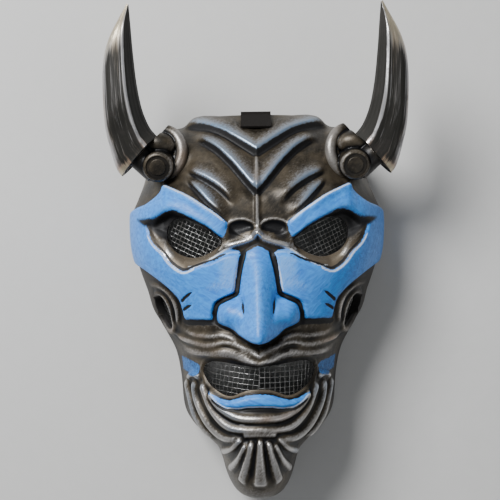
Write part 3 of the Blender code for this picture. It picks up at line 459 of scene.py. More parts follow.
def main_form(x, y, z, wall=0.0):
    """Heights added to the plain section by the nose, the sockets, the ears and the temples."""
    x = np.abs(x)
    if wall:
        eye_back = -SOCKET_DEPTH * ramp((inside(eye_outline(), x, y) + 12.0) / 8.0)
        return nose_height(x, y, wall) + eye_back
    return nose_height(x, y) + eye_depth(x, y) + ear_height(x, y) + temple_lift(x, y, z)


def vent_reach(du, dv):
    """1 on the vent's outline, less inside."""
    c, s = math.cos(VENT_LEAN), math.sin(VENT_LEAN)
    return np.hypot((c * du - s * dv) / VENT_RADII[0], (s * du + c * dv) / VENT_RADII[1])


def closed_line(points, steps):
    """A smooth closed outline through the points."""
    p = list(points)
    ring = smooth_line([p[-1], *p, p[0], p[1]], steps)
    return ring[steps:-steps - 1]


def mouth_outline(steps):
    """The whole mouth opening."""
    half = np.vstack([smooth_line(part, steps)[:-1] for part in (MOUTH_TOP, MOUTH_END, MOUTH_LOW)])
    half = np.vstack([half, MOUTH_LOW[-1]])
    return np.vstack([half, half[-2:0:-1] * (-1, 1)])


HALF_MOUTH = len(mouth_outline(2)) // 2 + 1


def grown(outline, by):
    """An outline moved outwards by a distance."""
    before = np.roll(outline, 1, axis=0)
    after = np.roll(outline, -1, axis=0)
    run = after - before
    normal = np.stack([run[:, 1], -run[:, 0]], axis=1)
    normal /= np.linalg.norm(normal, axis=1, keepdims=True)
    area = np.sum(before[:, 0] * outline[:, 1] - before[:, 1] * outline[:, 0])
    return outline + normal * by * np.sign(area)


def row_places():
    """Where the rows lie along the face, closer together round the chin."""
    t = np.linspace(0.0, 1.0, ROWS)
    chin = 0.08
    bend = 12.0
    return np.where(t < chin, CHIN_END + bend * (t / chin) ** 1.7,
                    CHIN_END + bend + (TOP_END - CHIN_END - bend) * (t - chin) / (1 - chin))


def half_columns(y, across, length, count):
    """Skin lengths of one half's columns: the first ones on the nose, the last ones down the side."""
    front = np.interp(FRONT_REACH * across[-1], across, length)
    nose_line = smooth_line(NOSE_EDGE, 4)[::-1]
    foot = float(np.interp(y, nose_line[:, 1], nose_line[:, 0]))
    beside = float(ramp((y + 72.0) / 14.0) * ramp((20.0 - y) / 12.0))
    foot = max(22.0 + (foot - 22.0) * beside, 6.0)
    t = np.linspace(0.0, 1.0, count)
    return np.interp(t, (0.0, NOSE_SHARE, FRONT_SHARE, 1.0), (0.0, foot, front, length[-1]))


def mirrored(half):
    """A whole grid from its right half."""
    return np.concatenate([half[:, :0:-1], half], axis=1)


def half_skin(rows, count, wall=0.0):
    """The right half of the plain face: its points and their lengths along the skin."""
    middle_first = np.linspace(0.0, 1.0, count) ** 1.3
    points = np.zeros((len(rows), count, 3))
    skin = np.zeros((len(rows), count))
    for i, y in enumerate(rows):
        across, height, length = section(y, wall)
        at = middle_first * length[-1] if wall else half_columns(y, across, length, count)
        points[i, :, 0] = np.interp(at, length, across)
        points[i, :, 1] = y
        points[i, :, 2] = np.interp(at, length, height)
        skin[i] = at
    held = ramp(points[..., 2] / FORM_FADE)
    points[..., 2] += main_form(points[..., 0], points[..., 1], points[..., 2], wall) * held
    return points, skin


def whole(half):
    """Points of both halves."""
    left = half[:, :0:-1] * (-1, 1, 1)
    return np.concatenate([left, half], axis=1)


def normals_of(points):
    """Outward normals of a grid of points."""
    up = np.gradient(points, axis=0)
    side = np.gradient(points, axis=1)
    normal = np.cross(side, up)
    return normal / np.maximum(np.linalg.norm(normal, axis=2, keepdims=True), 1e-9)


def blurred(values, reach):
    """A grid averaged over its neighbours, several times."""
    for _ in range(reach):
        padded = np.pad(values, 1, mode="edge")
        beside = padded[:-2, 1:-1] + padded[2:, 1:-1] + padded[1:-1, :-2] + padded[1:-1, 2:]
        values = (beside + 2 * values) / 6
    return values


def half_outline(points, u, v):
    """Distance inward from an outline that crosses the midline and is given as its right half."""
    half = on_skin(points)
    return inside(np.vstack([half, half[::-1] * (-1, 1)]), u, v)


def marks_at(u, v):
    """Distances inward from the outlines on the face, and the reach from the vent's middle."""
    frown = smooth_line(FROWN_HOLLOW + FROWN_HOLLOW[:1], 4)[:-1]
    outlines = {"plate": plate_outline(), "eye": closed_line(EYE_HOLE, 2), "socket": eye_outline(),
                "frown": frown, "strip": LID_STRIP, "patch": SIDE_PATCH, "make_up": MAKE_UP}
    halves = {"nose": smooth_line(NOSE_EDGE, 4), "lip": LOWER_LIP, "mouth": mouth_outline(2)[:HALF_MOUTH]}
    found = {name: inside(on_skin(line), u, v) for name, line in outlines.items()}
    found |= {name: half_outline(line, u, v) for name, line in halves.items()}
    centre = on_skin([VENT_CENTRE])[0]
    return SimpleNamespace(vent=vent_reach(u - centre[0], v - centre[1]), **found)


def relief(u, v, at):
    """Carving on the main form, at a skin point u along and v up."""
    high = sum(fold(u, v, *row) for row in FOLDS) + sum(ridge(u, v, *row) for row in RIDGES)
    high += np.maximum.reduce([ridge(u, v, *row) for row in JAW_RIDGES])
    high += BROW_KNOT_RISE * faded(np.hypot(u, v - 16.5) / 5.5)
    high -= FROWN_DEPTH * ramp(at.frown / 2.2)
    facet = np.abs(measure(on_skin(BROW_FACET), u, v)[0])
    lifted = PLATE_RISE + FACET_RISE * np.clip(1.0 - facet / 9.0, 0.0, 1.0)
    high += lifted * ramp((at.plate + 0.2) / 1.3)
    groove = np.abs(from_line(NASAL_EDGE, u, v)[0] - 1.2)
    high -= PLATE_GROOVE * faded(groove / 1.9)
    high += LIP_RISE * ramp(at.lip / 1.8)
    high += VENT_RING_RISE * faded(np.abs(at.vent - 1.25) / 0.3)
    high -= faded((at.vent - 1.0) / 0.12) * (at.vent > 0.6)
    high += MOUTH_RIM_RISE * faded(np.abs(at.mouth + 2.3) / 1.5)
    for edge in (at.eye, at.mouth):
        high -= OPENING_ROUND * faded(-edge / 1.7)
    return blurred(high, 2) * ramp((v - CHIN_END) / 6.0)


def near_line(u, v, points, width, shift, start, end):
    """Distance to a painted line as a share of its half width, larger where the line fades out."""
    gap, share = from_line(points, u, v)
    return np.abs(gap - shift) / (width * np.maximum(fade_ends(share, start, end), 0.05))


def nearest(lines, u, v):
    """The least of the distances to several painted lines."""
    return np.minimum.reduce([near_line(u, v, *line) for line in lines])


def painted_fold_light(u, v):
    """The painted sheen on the back of each forehead fold, and the painted shadow under its crest."""
    painted_sheen = np.zeros(u.shape)
    dark = np.zeros(u.shape)
    for i, line in enumerate(FOREHEAD_FOLDS):
        gap, share = from_line(line, u, v)
        kept = fade_ends(share, 0.0 if i < 2 else 0.55, 0.35)
        # Painted sheen, brightest just behind each crest and fading up its back
        painted_sheen = np.maximum(painted_sheen, np.exp(-np.abs(gap - 0.2) / np.where(gap > 0.2, 4.6, 0.5)) * kept)
        # Painted shadow in the band under each crest
        dark = np.maximum(dark, faded(np.abs(gap + 1.9) / 2.0) * kept)
    return painted_sheen, dark


def silvering(u, v, high, bend, at, lumps, forehead):
    """How far each point stands out and takes silver, with painted shadow under the forehead folds and
    painted shade in the frown hollow, and the forehead's painted sheen.
    """
    crest = (high - blurred(high, 14)) * 0.55 + bend * 0.9 + 0.12
    painted_sheen, dark = painted_fold_light(u, v)
    # On the forehead the silver follows the painted sheen, and the painted shadow under each fold darkens it
    crest = crest + (painted_sheen * 1.15 - dark * 1.5 + bend * 0.12 - 0.05 - crest) * forehead + lumps * 0.7
    midline = faded((u - 0.2) / 1.4) * ramp((v - 17.0) / 4.0) * faded((v - 64.0) / 8.0)
    frown_rim = faded(np.abs(at.frown + 0.8) / 1.0) * ramp((v - 20.0) / 3.0)
    # Painted shade darkens the inside of the frown hollow; its rim takes silver
    crest = crest + (1.1 - crest) * midline * 0.85 - 1.5 * ramp(at.frown / 1.4) + 0.6 * frown_rim
    vent_ring = faded(np.abs(at.vent - 1.12) / 0.10)
    crest = crest - 0.45 * faded((at.vent - 1.3) / 1.2) + 1.1 * vent_ring
    return np.clip(crest - 0.6 * faded(np.abs(at.mouth + 2.2) / 2.0), -2.0, 2.0), painted_sheen * forehead


def make_up_of(v, at, patch, streak):
    """The black make-up round the eye, on the side patch and in the temple's streak."""
    round_eye = ramp((at.eye + 2.2) / 2.0) * ramp((v - 8.0) / 8.0)
    return np.maximum.reduce([ramp((at.make_up + 3.6) / 6.2), round_eye, 0.5 * streak,
                              0.56 * ramp((patch + 0.4) / 0.4)])


def ledges(v, at, lumps):
    """The brown ledges under the eye and below the mouth."""
    under = ramp(at.socket / 0.8) * ramp((at.eye + 10.0) / 2.0) * faded((v - 4.0) / 8.0)
    under = under * (1.0 - 0.9 * lumps) * faded((at.strip + 1.0) / 0.8)
    return np.maximum(under, ramp((at.mouth + 1.8) / 1.0) * ramp((-88.0 - v) / 4.0))


def pale_blue(u, v, at, blue, crest, painted_sheen):
    """Where the blue is paler: on the nose, beside it, under the eye and along the brow, with the forehead's
    painted sheen added.
    """
    nose = faded((u - 0.5) / 8.0) * ramp((2.0 - v) / 10.0) * ramp((v + 60.0) / 14.0)
    by_nose = faded((np.abs(at.nose + 7.0) - 2.0) / 11.0) * ramp((v + 30.0) / 14.0) * ramp((4.0 - v) / 6.0)
    under_eye = faded((np.hypot((u - 62.0) / 1.6, v + 6.0) - 2.0) / 12.0)
    brow = ramp((at.plate - 0.2) / 1.0) * faded(at.plate / 6.0) * ramp((v - 26.0) / 6.0)
    pale = np.maximum.reduce([nose * 0.6, by_nose * 0.75, under_eye * 0.35, brow * 0.45,
                              ramp((at.strip + 0.3) / 0.8)])
    return pale * (blue > 0) + np.clip(crest, -0.3, 0.4) * 0.4 * (at.nose < 0) + painted_sheen * 1.2


def paint_fields(x, u, v, high, bend, at):
    """Values on the grid that the paint follows."""
    patch = 0.45 * at.patch - 0.3
    blue = np.maximum.reduce([at.plate, at.nose - 0.9, at.lip + 0.1, patch, at.strip])
    lumps = faded(np.hypot((x - 61.0) / 6.0, (v - 2.0) / 8.0))
    forehead = ramp((v - 20.0) / 8.0) * faded(at.plate + 1.0)
    crest, painted_sheen = silvering(u, v, high, bend, at, lumps, forehead)
    outwards = x / np.array([station(y)[0] for y in v[:, 0]])[:, None]
    side = ramp((u - 70.0) / 24.0) * faded((v - 30.0) / 20.0)
    side = np.maximum(side, ramp((outwards - 0.89) / 0.09) * ramp((-66.0 - v) / 14.0))
    streak = faded(near_line(u, v, TEMPLE_STREAK, 3.4, 0.0, 0.3, 0.4))
    return {
        "blue": np.clip(blue, -20.0, 20.0),
        "ink_and_shadow": np.clip(nearest(INK_AND_SHADOW_LINES, u, v), 0.0, 6.0),
        "crest": crest,
        "make_up": make_up_of(v, at, patch, streak),
        "ledge": ledges(v, at, lumps),
        "pale": pale_blue(u, v, at, blue, crest, painted_sheen),
        "polish": (1.0 - 0.5 * forehead) * (1.0 - 0.7 * side),
        "side": side,
        "white": faded(nearest(WHITE_LINES, u, v)),
        "painted_sheen": painted_sheen,
    }


def carved_skin():
    """The carved outer skin in millimetres, and the paint's values on it."""
    points, skin = half_skin(row_places(), HALF_COLUMNS)
    x, y, z = points[..., 0], points[..., 1], points[..., 2]
    at = marks_at(skin, y)
    high = relief(skin, y, at)
    both = whole(points)
    real = both + normals_of(both) * mirrored(high * ramp(z / CARVING_FADE))[..., None]
    real[-1, :, 1] = TOP_END
    normal = normals_of(real)
    bend = 0.0
    for axis in (0, 1):
        run = np.gradient(real, axis=axis)
        turn = np.gradient(normal, axis=axis)
        bend = bend + (run * turn).sum(axis=2) / np.maximum((run**2).sum(axis=2), 0.04)
    bend = blurred(bend, 5)[:, HALF_COLUMNS - 1:]
    fields = paint_fields(x, skin, y, high, bend, at)
    return real, {name: mirrored(values) for name, values in fields.items()}


def select_none():
    """Leaves object mode with nothing selected."""
    if bpy.context.object and bpy.context.object.mode != "OBJECT":
        bpy.ops.object.mode_set(mode="OBJECT")
    bpy.ops.object.select_all(action="DESELECT")


def pick(obj):
    """Makes an object the only selected one."""
    select_none()
    obj.select_set(True)
    bpy.context.view_layer.objects.active = obj
    return obj


def linked(name, data):
    """A new object of that data, put into the scene."""
    obj = bpy.data.objects.new(name, data)
    bpy.context.scene.collection.objects.link(obj)
    return obj


def edit(obj, mode="VERT"):
    """Opens an object in edit mode with nothing selected."""
    pick(obj)
    bpy.ops.object.mode_set(mode="EDIT")
    bpy.ops.mesh.select_mode(type=mode)
    bpy.ops.mesh.select_all(action="DESELECT")
    return bmesh.from_edit_mesh(obj.data)


def sheet_of(name, points):
    """A grid primitive moved to the given points, in millimetres."""
    rows, columns = points.shape[:2]
    select_none()
    bpy.ops.mesh.primitive_grid_add(x_subdivisions=columns - 1, y_subdivisions=rows - 1, size=1.0)
    obj = bpy.context.object
    obj.name = name
    places = np.ascontiguousarray(points.reshape(-1, 3) * MM, dtype=np.float32)
    obj.data.vertices.foreach_set("co", places.ravel())
    obj.data.update()
    return obj


def outward(obj):
    """Turns the faces of a closed mesh outwards."""
    edit(obj)
    bpy.ops.mesh.select_all(action="SELECT")
    bpy.ops.mesh.normals_make_consistent(inside=False)
    bpy.ops.object.mode_set(mode="OBJECT")
    return obj


def close_ends(obj):
    """Fills the open loop at each end of a mesh that is in edit mode."""
    for last in (False, True):
        bpy.ops.mesh.select_all(action="DESELECT")
        bm = bmesh.from_edit_mesh(obj.data)
        places = [vert.co.y for vert in bm.verts]
        middle = (min(places) + max(places)) / 2
        for edge in bm.edges:
            if edge.is_boundary and (edge.verts[0].co.y > middle) == last:
                edge.select_set(True)
        bmesh.update_edit_mesh(obj.data)
        bpy.ops.mesh.edge_face_add()
    return outward(obj)


def close_back(obj, columns, drop=0.0):
    """Joins the two rims of a skin below it and closes its two ends."""
    bm = edit(obj, "EDGE")
    rims = {0, columns - 1}
    for edge in bm.edges:
        sides = {vert.index % columns for vert in edge.verts}
        edge.select_set(edge.is_boundary and len(sides) == 1 and sides <= rims)
    bmesh.update_edit_mesh(obj.data)
    if drop:
        bpy.ops.mesh.extrude_region_move(TRANSFORM_OT_translate={"value": (0, 0, drop * MM)})
    bpy.ops.mesh.bridge_edge_loops()
    return close_ends(obj)


def boolean(obj, other, operation="DIFFERENCE"):
    """Applies an exact Boolean and removes its cutter."""
    modifier = obj.modifiers.new("shape", "BOOLEAN")
    modifier.operation = operation
    modifier.object = other
    modifier.solver = "EXACT"
    pick(obj)
    bpy.ops.object.modifier_apply(modifier=modifier.name)
    bpy.data.objects.remove(other, do_unlink=True)
    return obj


def joined(objects):
    """Several objects as the first one."""
    select_none()
    for obj in objects:
        obj.select_set(True)
    bpy.context.view_layer.objects.active = objects[0]
    bpy.ops.object.join()
    return bpy.context.object


def shaded(obj, degrees=50):
    """Shades an object smooth, apart from edges sharper than that."""
    pick(obj)
    bpy.ops.object.shade_smooth_by_angle(angle=math.radians(degrees))
    return obj


def applied(obj):
    """Moves an object's place into its mesh."""
    pick(obj)
    bpy.ops.object.transform_apply(location=True, rotation=True, scale=True)
    return obj


def hollow(wall, floor=-6.0):
    """The hollow behind the face for that wall, as a solid."""
    first = CHIN_END + 1.25 * WALL
    chin = np.linspace(first, first + 12, 8)[:-1]
    rows = np.concatenate([chin, np.linspace(first + 12, TOP_END - 0.5, CAVITY_ROWS)])
    grid = whole(half_skin(rows, CAVITY_COLUMNS, wall)[0])
    beyond = grid[-1:].copy()
    beyond[..., 1] += 14.0
    grid = np.concatenate([grid, beyond])
    return close_back(sheet_of("hollow", grid), grid.shape[1], drop=floor)


def pushed(points, shift):
    """A filled outline, in millimetres, that is extruded along shift to a closed solid."""
    select_none()
    bpy.ops.mesh.primitive_circle_add(vertices=len(points), radius=1.0, fill_type="NGON")
    obj = bpy.context.object
    for vert, point in zip(obj.data.vertices, points):
        vert.co = [value * MM for value in point]
    edit(obj, "FACE")
    bpy.ops.mesh.select_all(action="SELECT")
    bpy.ops.mesh.extrude_region_move(TRANSFORM_OT_translate={"value": [value * MM for value in shift]})
    return outward(obj)


def bar(outline):
    """A straight cutter of that outline."""
    return pushed([(x, y, CUTTER_LOW) for x, y in outline], (0, 0, CUTTER_HIGH - CUTTER_LOW))


def vent_bar(side):
    """A leaning oval bar through the side of the face by the ear."""
    x, y = VENT_CENTRE
    across, height, _ = section(y)
    places = np.array((x - 5.0, x, x + 5.0))
    heights = np.interp(places, across, height)
    heights = heights + main_form(places, np.full(3, y), heights)
    along = Vector((10.0, 0.0, float(heights[2] - heights[0]))).normalized()
    out = Vector((-along.z, 0.0, along.x))
    centre = Vector((x, y, float(heights[1])))
    points = []
    for turn in (i * math.tau / VENT_SIDES for i in range(VENT_SIDES)):
        a, b = VENT_RADII[0] * math.cos(turn), VENT_RADII[1] * math.sin(turn)
        c, s = math.cos(VENT_LEAN), math.sin(VENT_LEAN)
        point = centre - out * VENT_CUTTER_START + along * (a * c + b * s) + Vector((0.0, b * c - a * s, 0.0))
        points.append((side * point.x, point.y, point.z))
    return pushed(points, (side * out.x * VENT_CUTTER_LENGTH, 0, out.z * VENT_CUTTER_LENGTH))


def back_cut():
    """A wedge that lifts the rim off the ground behind the forehead."""
    end = TOP_END + 10.0
    lift = BACK_RIM_LIFT * (end - BACK_RIM_START) / (TOP_END - BACK_RIM_START)
    profile = ((BACK_RIM_START, -8.0), (BACK_RIM_START, 0.0), (end, lift), (end, -8.0))
    return pushed([(-120.0, y, z) for y, z in profile], (240.0, 0, 0))


def store(obj, name, values):
    """Keeps one number a vertex under that name."""
    layer = obj.data.attributes.new(name, "FLOAT", "POINT")
    layer.data.foreach_set("value", np.ascontiguousarray(values, dtype=np.float32))


def vertex_values(mesh, name):
    """The places or the normals of a mesh's vertices."""
    values = np.empty(len(mesh.vertices) * 3, np.float32)
    mesh.vertices.foreach_get(name, values)
    return values.reshape(-1, 3)


def mask_face():
    """The cast face: carved outside, hollow behind, with its openings, and the paint's values on it."""
    real, fields = carved_skin()
    obj = close_back(sheet_of("mask_face", real), real.shape[1])
    boolean(obj, hollow(WALL))
    boolean(obj, back_cut())
    bars = [bar(closed_line(EYE_HOLE, 5) * (side, 1)) for side in (-1, 1)]
    bars += [bar(mouth_outline(5)), vent_bar(-1), vent_bar(1)]
    boolean(obj, joined(bars))
    flat = real.reshape(-1, 3)
    tree = KDTree(len(flat))
    for i, point in enumerate(flat):
        tree.insert(point, i)
    tree.balance()
    places = vertex_values(obj.data, "co") / MM
    near = np.zeros(len(places), int)
    gap = np.zeros(len(places))
    for i, place in enumerate(places):
        _, near[i], gap[i] = tree.find(place)
    for name, values in fields.items():
        store(obj, name, values.ravel()[near])
    store(obj, "within", ramp((gap - 0.9) / 1.2))
    return shaded(obj)


def seat_frame():
    """Where the right horn's seat lies on the temple, in millimetres, and the way it faces."""
    return Vector((*COLLAR_CENTRE, seat_height())), Vector(SEAT_AXIS).normalized()


def horn_base():
    """The middle of the right horn's diagonal base, and the way that the horn leaves it."""
    seat, _ = seat_frame()
    across = Vector(HORN_INNER[0]) - Vector(HORN_OUTER[0])
    return Vector((*HORN_BASE, seat.z + HORN_LIFT)), Vector((across.y, -across.x, 0.0)).normalized()


def facing(axis):
    """Rotation that turns a primitive's own Z to an axis."""
    return axis.to_track_quat("Z", "Y").to_euler()


def disc(start, axis, radius, length, sides=64, soft=0.0):
    """A round bar from start along axis, with an optional rounded far edge."""
    select_none()
    bpy.ops.mesh.primitive_cylinder_add(vertices=sides, radius=radius * MM, depth=length * MM,
                                        location=(start + axis * length / 2) * MM, rotation=facing(axis))
    obj = applied(bpy.context.object)
    if soft:
        bm = edit(obj, "EDGE")
        middle = (start + axis * length / 2) * MM
        for edge in bm.edges:
            beyond = all((vert.co - middle).dot(axis) > 0 for vert in edge.verts)
            edge.select_set(beyond)
        bmesh.update_edit_mesh(obj.data)
        bpy.ops.mesh.bevel(offset=soft * MM, segments=4, affect="EDGES")
        bpy.ops.object.mode_set(mode="OBJECT")
    return obj


def ring(centre, axis, radius, band):
    """A round band about an axis."""
    select_none()
    bpy.ops.mesh.primitive_torus_add(major_segments=72, minor_segments=18, major_radius=radius * MM,
                                     minor_radius=band * MM, location=centre * MM, rotation=facing(axis))
    return applied(bpy.context.object)


def lump(centre, radii, lean):
    """A rounded lump of cast resin."""
    select_none()
    bpy.ops.mesh.primitive_uv_sphere_add(segments=36, ring_count=20, radius=MM, location=centre * MM,
                                         rotation=(0, 0, lean), scale=radii)
    return applied(bpy.context.object)


def finish_with(obj, kind, **settings):
    """Adds one modifier and applies it."""
    modifier = obj.modifiers.new("shape", kind)
    for name, value in settings.items():
        setattr(modifier, name, value)
    pick(obj)
    bpy.ops.object.modifier_apply(modifier=modifier.name)
    return obj


def horn_seat():
    """The right collar and knuckle that carry a horn, cast in one with the temple."""
    seat, axis = seat_frame()
    base, out = horn_base()
    face = Vector((0.05, -0.24, 0.97)).normalized()
    foot = seat + Vector((0.6, -5.5, -4.0))
    parts = [
        ring(seat + axis * 1.2, axis, COLLAR_RADIUS, COLLAR_BAND),
        ring(seat + axis * 1.0, axis, COLLAR_RADIUS - 5.4, 1.2),
        disc(seat - axis * 9.0, axis, COLLAR_RADIUS - 1.5, 9.8),
        disc(base - out * 16.0, out, STEM_RADIUS, 17.0),
        lump(seat + Vector((1.5, 6.5, 5.0)), (12.3, 8.0, 8.8), 0.12),
        disc(foot, face, KNOB_RADIUS, KNOB_LENGTH, soft=2.4),
    ]
    obj = finish_with(joined(parts), "REMESH", mode="VOXEL", voxel_size=0.55 * MM)
    obj = finish_with(obj, "SMOOTH", factor=0.5, iterations=5)
    knob = foot + face * (KNOB_LENGTH - KNOB_DISH_DEPTH)
    boolean(obj, disc(knob, face, KNOB_DISH, 6.0))
    boolean(obj, disc(knob - face, face, KNOB_DISH - 2.6, 1.8, soft=0.5), "UNION")
    boolean(obj, disc(base, out, 40.0, 30.0))
    boolean(obj, hollow(WALL - 1.2))
    obj.name = "horn_seat_right"
    store_crest(obj, seat, axis, knob)
    return shaded(obj, 42)


def store_crest(obj, seat, axis, knob):
    """Keeps how far each vertex stands out, brighter on the collar's inner side and dull on the knob."""
    mesh = obj.data
    places = vertex_values(mesh, "co") / MM
    edges = np.empty(len(mesh.edges) * 2, np.int32)
    mesh.edges.foreach_get("vertices", edges)
    edges = edges.reshape(-1, 2)
    links = np.zeros(len(places))
    np.add.at(links, edges.ravel(), 1.0)
    smooth = places.astype(float)
    for _ in range(CREST_ROUNDS):
        total = np.zeros((len(places), 3))
        np.add.at(total, edges[:, 0], smooth[edges[:, 1]])
        np.add.at(total, edges[:, 1], smooth[edges[:, 0]])
        smooth = total / np.maximum(links, 1.0)[:, None]
    crest = ((places - smooth) * vertex_values(mesh, "normal")).sum(axis=1) * CREST_GAIN
    crest += np.clip((seat.x - 8.0 - places[:, 0]) / 8.0, -0.45, 0.3)
    below = -((places - np.array(seat)) @ np.array(axis))
    from_knob = np.hypot(places[:, 0] - knob.x, places[:, 1] - knob.y)
    crest -= 1.6 * ramp((below - 2.5) / 2.0) * (from_knob > KNOB_RADIUS)
    crest += (np.clip(crest, -0.25, 0.1) - crest) * faded(from_knob - KNOB_DISH)
    store(obj, "crest", np.clip(crest, -2.0, 2.0))


def opposite(obj, name):
    """A mirrored copy with its own mesh."""
    copy = obj.copy()
    copy.data = obj.data.copy()
    copy.name = name
    bpy.context.scene.collection.objects.link(copy)
    copy.data.transform(Matrix.Diagonal((-1.0, 1.0, 1.0, 1.0)))
    copy.data.flip_normals()
    return copy


def silvered_horn_right():
    """A horn: rings from its diagonal base to the tip, with a raised line and fine lengthwise grooves."""
    base, _ = horn_base()
    keep = np.linspace(0.0, 1.0, HORN_RINGS)
    edges = []
    for line in (smooth_line(HORN_INNER, 24), smooth_line(HORN_OUTER, 24)):
        share = np.linspace(0.0, 1.0, len(line))
        edges.append(np.stack([np.interp(keep, share, line[:, i]) for i in (0, 1)], axis=1))
    turns = np.linspace(0.0, math.tau, HORN_SIDES + 1)
    crest = np.exp(-(((turns - 2.05) / 0.30) ** 2))
    groove = 0.5 * np.cos(23 * turns) + 0.3 * np.cos(37 * turns + 1.3) + 0.2 * np.cos(11 * turns + 0.4)
    points = np.zeros((HORN_RINGS, HORN_SIDES + 1, 3))
    for i, (along, a, b) in enumerate(zip(keep, *edges)):
        lift = HORN_FORWARD * float(ramp(along * 1.1))
        middle, half = (a + b) / 2, (b - a) / 2
        deep = float(np.linalg.norm(half)) * HORN_THICKNESS
        wander = groove * np.cos(3.0 * along + 2 * turns) * (0.018 + 0.01 * along) * float(ramp(along * 12.0))
        scale = 1.0 - HORN_INSET + wander
        points[i, :, 0] = base.x + middle[0] + half[0] * np.cos(turns) * scale
        points[i, :, 1] = base.y + middle[1] + half[1] * np.cos(turns) * scale
        points[i, :, 2] = base.z + lift + np.sin(turns) * deep * (scale + 0.32 * crest)
    obj = sheet_of("horn_right_silvered", points)
    edit(obj, "EDGE")
    bpy.ops.mesh.select_all(action="SELECT")
    bpy.ops.mesh.remove_doubles(threshold=0.00001)
    return shaded(close_ends(obj))


def behind(u, v, wall):
    """Points of the surface that lies that far behind the face, from lengths along its skin."""
    places = np.zeros((len(u), 3))
    for i, (length_at, y) in enumerate(zip(u, v)):
        across, height, length = section(y, wall)
        x = np.interp(abs(length_at), length, across)
        places[i] = (x * (1 if length_at >= 0 else -1), y, np.interp(abs(length_at), length, height))
    places[:, 2] += main_form(places[:, 0], places[:, 1], places[:, 2], wall)
    return places


def wires(name, outline, middle, angle, pitch, wall, cut=None):
    """Woven wires that follow the surface behind an opening and pass over and under each other."""
    curve = bpy.data.curves.new(name, "CURVE")
    curve.dimensions = "3D"
    curve.bevel_depth = WIRE_RADIUS * MM
    curve.bevel_resolution = 1
    curve.use_fill_caps = True
    reach = 60.0
    step = pitch / 6.0
    for way in (0, 1):
        turn = angle[way]
        along = np.array((math.cos(turn), math.sin(turn)))
        across = np.array((-math.sin(turn), math.cos(turn)))
        for k in range(-int(reach / pitch), int(reach / pitch) + 1):
            run = np.arange(-reach, reach, step)
            line = np.array(middle) + along * run[:, None] + across * (k * pitch)
            kept = inside(outline, line[:, 0], line[:, 1]) > 0
            if cut is not None:
                kept &= cut[0] * line[:, 0] > cut[1]
            where = np.flatnonzero(kept)
            if len(where) < 6:
                continue
            for part in np.split(where, np.flatnonzero(np.diff(where) > 1) + 1):
                if len(part) < 6:
                    continue
                u, v = line[part, 0], line[part, 1]
                here = behind(u, v, wall)
                side = behind(u + across[0] * 0.4, v + across[1] * 0.4, wall) - here
                front = np.gradient(here, axis=0)
                normal = np.cross(front, side)
                normal /= np.linalg.norm(normal, axis=1, keepdims=True)
                normal *= np.sign(normal[:, 2:3])
                wave = np.cos(run[part] * math.pi / pitch + math.pi * (k + way))
                here = here + normal * (wave * WIRE_RADIUS * 0.85)[:, None]
                spline = curve.splines.new("POLY")
                spline.points.add(len(here) - 1)
                spline.points.foreach_set("co", np.column_stack([here * MM, np.ones(len(here))]).ravel())
    pick(linked(name, curve))
    bpy.ops.object.convert(target="MESH")
    obj = bpy.context.object
    obj.name = name
    bpy.ops.object.shade_smooth()
    return obj


def strap_tab():
    """A webbing tab folded over the top rim."""
    half = STRAP_THICKNESS / 2

    def above(y):
        return station(y)[1] + STRAP_RISE + half

    def below(y):
        return station(y)[1] - WALL - STRAP_GAP - STRAP_UNDER - half

    front = np.linspace(TOP_END - STRAP_FRONT_LEG, TOP_END - 0.2, 12)
    back = np.linspace(TOP_END - 0.2, TOP_END - STRAP_BACK_LEG, 20)
    middle = TOP_END + STRAP_GAP + half - STRAP_TURN
    high, low = above(front[-1]) - STRAP_TURN, below(back[0]) + STRAP_TURN
    path = [(y, above(y)) for y in front]
    turns = [(STRAP_TURN * math.cos(t), STRAP_TURN * math.sin(t)) for t in np.linspace(0.0, math.pi / 2, 5)]
    path += [(middle + s, high + c) for c, s in turns]
    path += [(middle + c, low - s) for c, s in turns]
    path += [(y, below(y)) for y in back[1:]]
    path = np.array(path)
    size = np.concatenate([[0.0], np.cumsum(np.hypot(*np.diff(path, axis=0).T))])
    even = np.linspace(0.0, size[-1], 110)
    path = np.stack([np.interp(even, size, path[:, i]) for i in (0, 1)], axis=1)
    across = np.linspace(-STRAP_WIDTH / 2, STRAP_WIDTH / 2, 43)
    points = np.zeros((len(path), len(across), 3))
    points[..., 0] = across * (1.0 + 0.006 * np.sin(even * 0.6))[:, None]
    points[..., 1] = path[:, :1]
    points[..., 2] = path[:, 1:]
    obj = sheet_of("strap_tab_webbing", points)
    finish_with(obj, "SOLIDIFY", thickness=STRAP_THICKNESS * MM * 0.92, offset=0.0, use_even_offset=True)
    return shaded(outward(obj))


def joined_to(socket, value):
    """Links a socket, or sets its own value."""
    if isinstance(value, bpy.types.NodeSocket):
        socket.id_data.links.new(value, socket)
    else:
        socket.default_value = value


def put(tree, kind, inputs=None, **settings):
    """Adds one node with its settings and inputs."""
    node = tree.nodes.new(kind)
    for name, value in settings.items():
        setattr(node, name, value)
    for key, value in (inputs or {}).items():
        joined_to(node.inputs[key], value)
    return node


def sums(operation, a, b=0.0):
    """One step of arithmetic."""
    tree = (a if isinstance(a, bpy.types.NodeSocket) else b).id_data
    return put(tree, "ShaderNodeMath", {0: a, 1: b}, operation=operation).outputs[0]


def times(a, b):
    """A product."""
    return sums("MULTIPLY", a, b)


def plus(total, *others):
    """A sum."""
    for other in others:
        total = sums("ADD", total, other)
    return total


def ranged(value, low, high, start=0.0, end=1.0):
    """A value stepped smoothly from start to end between low and high."""
    given = {"Value": value, "From Min": low, "From Max": high, "To Min": start, "To Max": end}
    return put(value.id_data, "ShaderNodeMapRange", given, interpolation_type="SMOOTHSTEP").outputs["Result"]


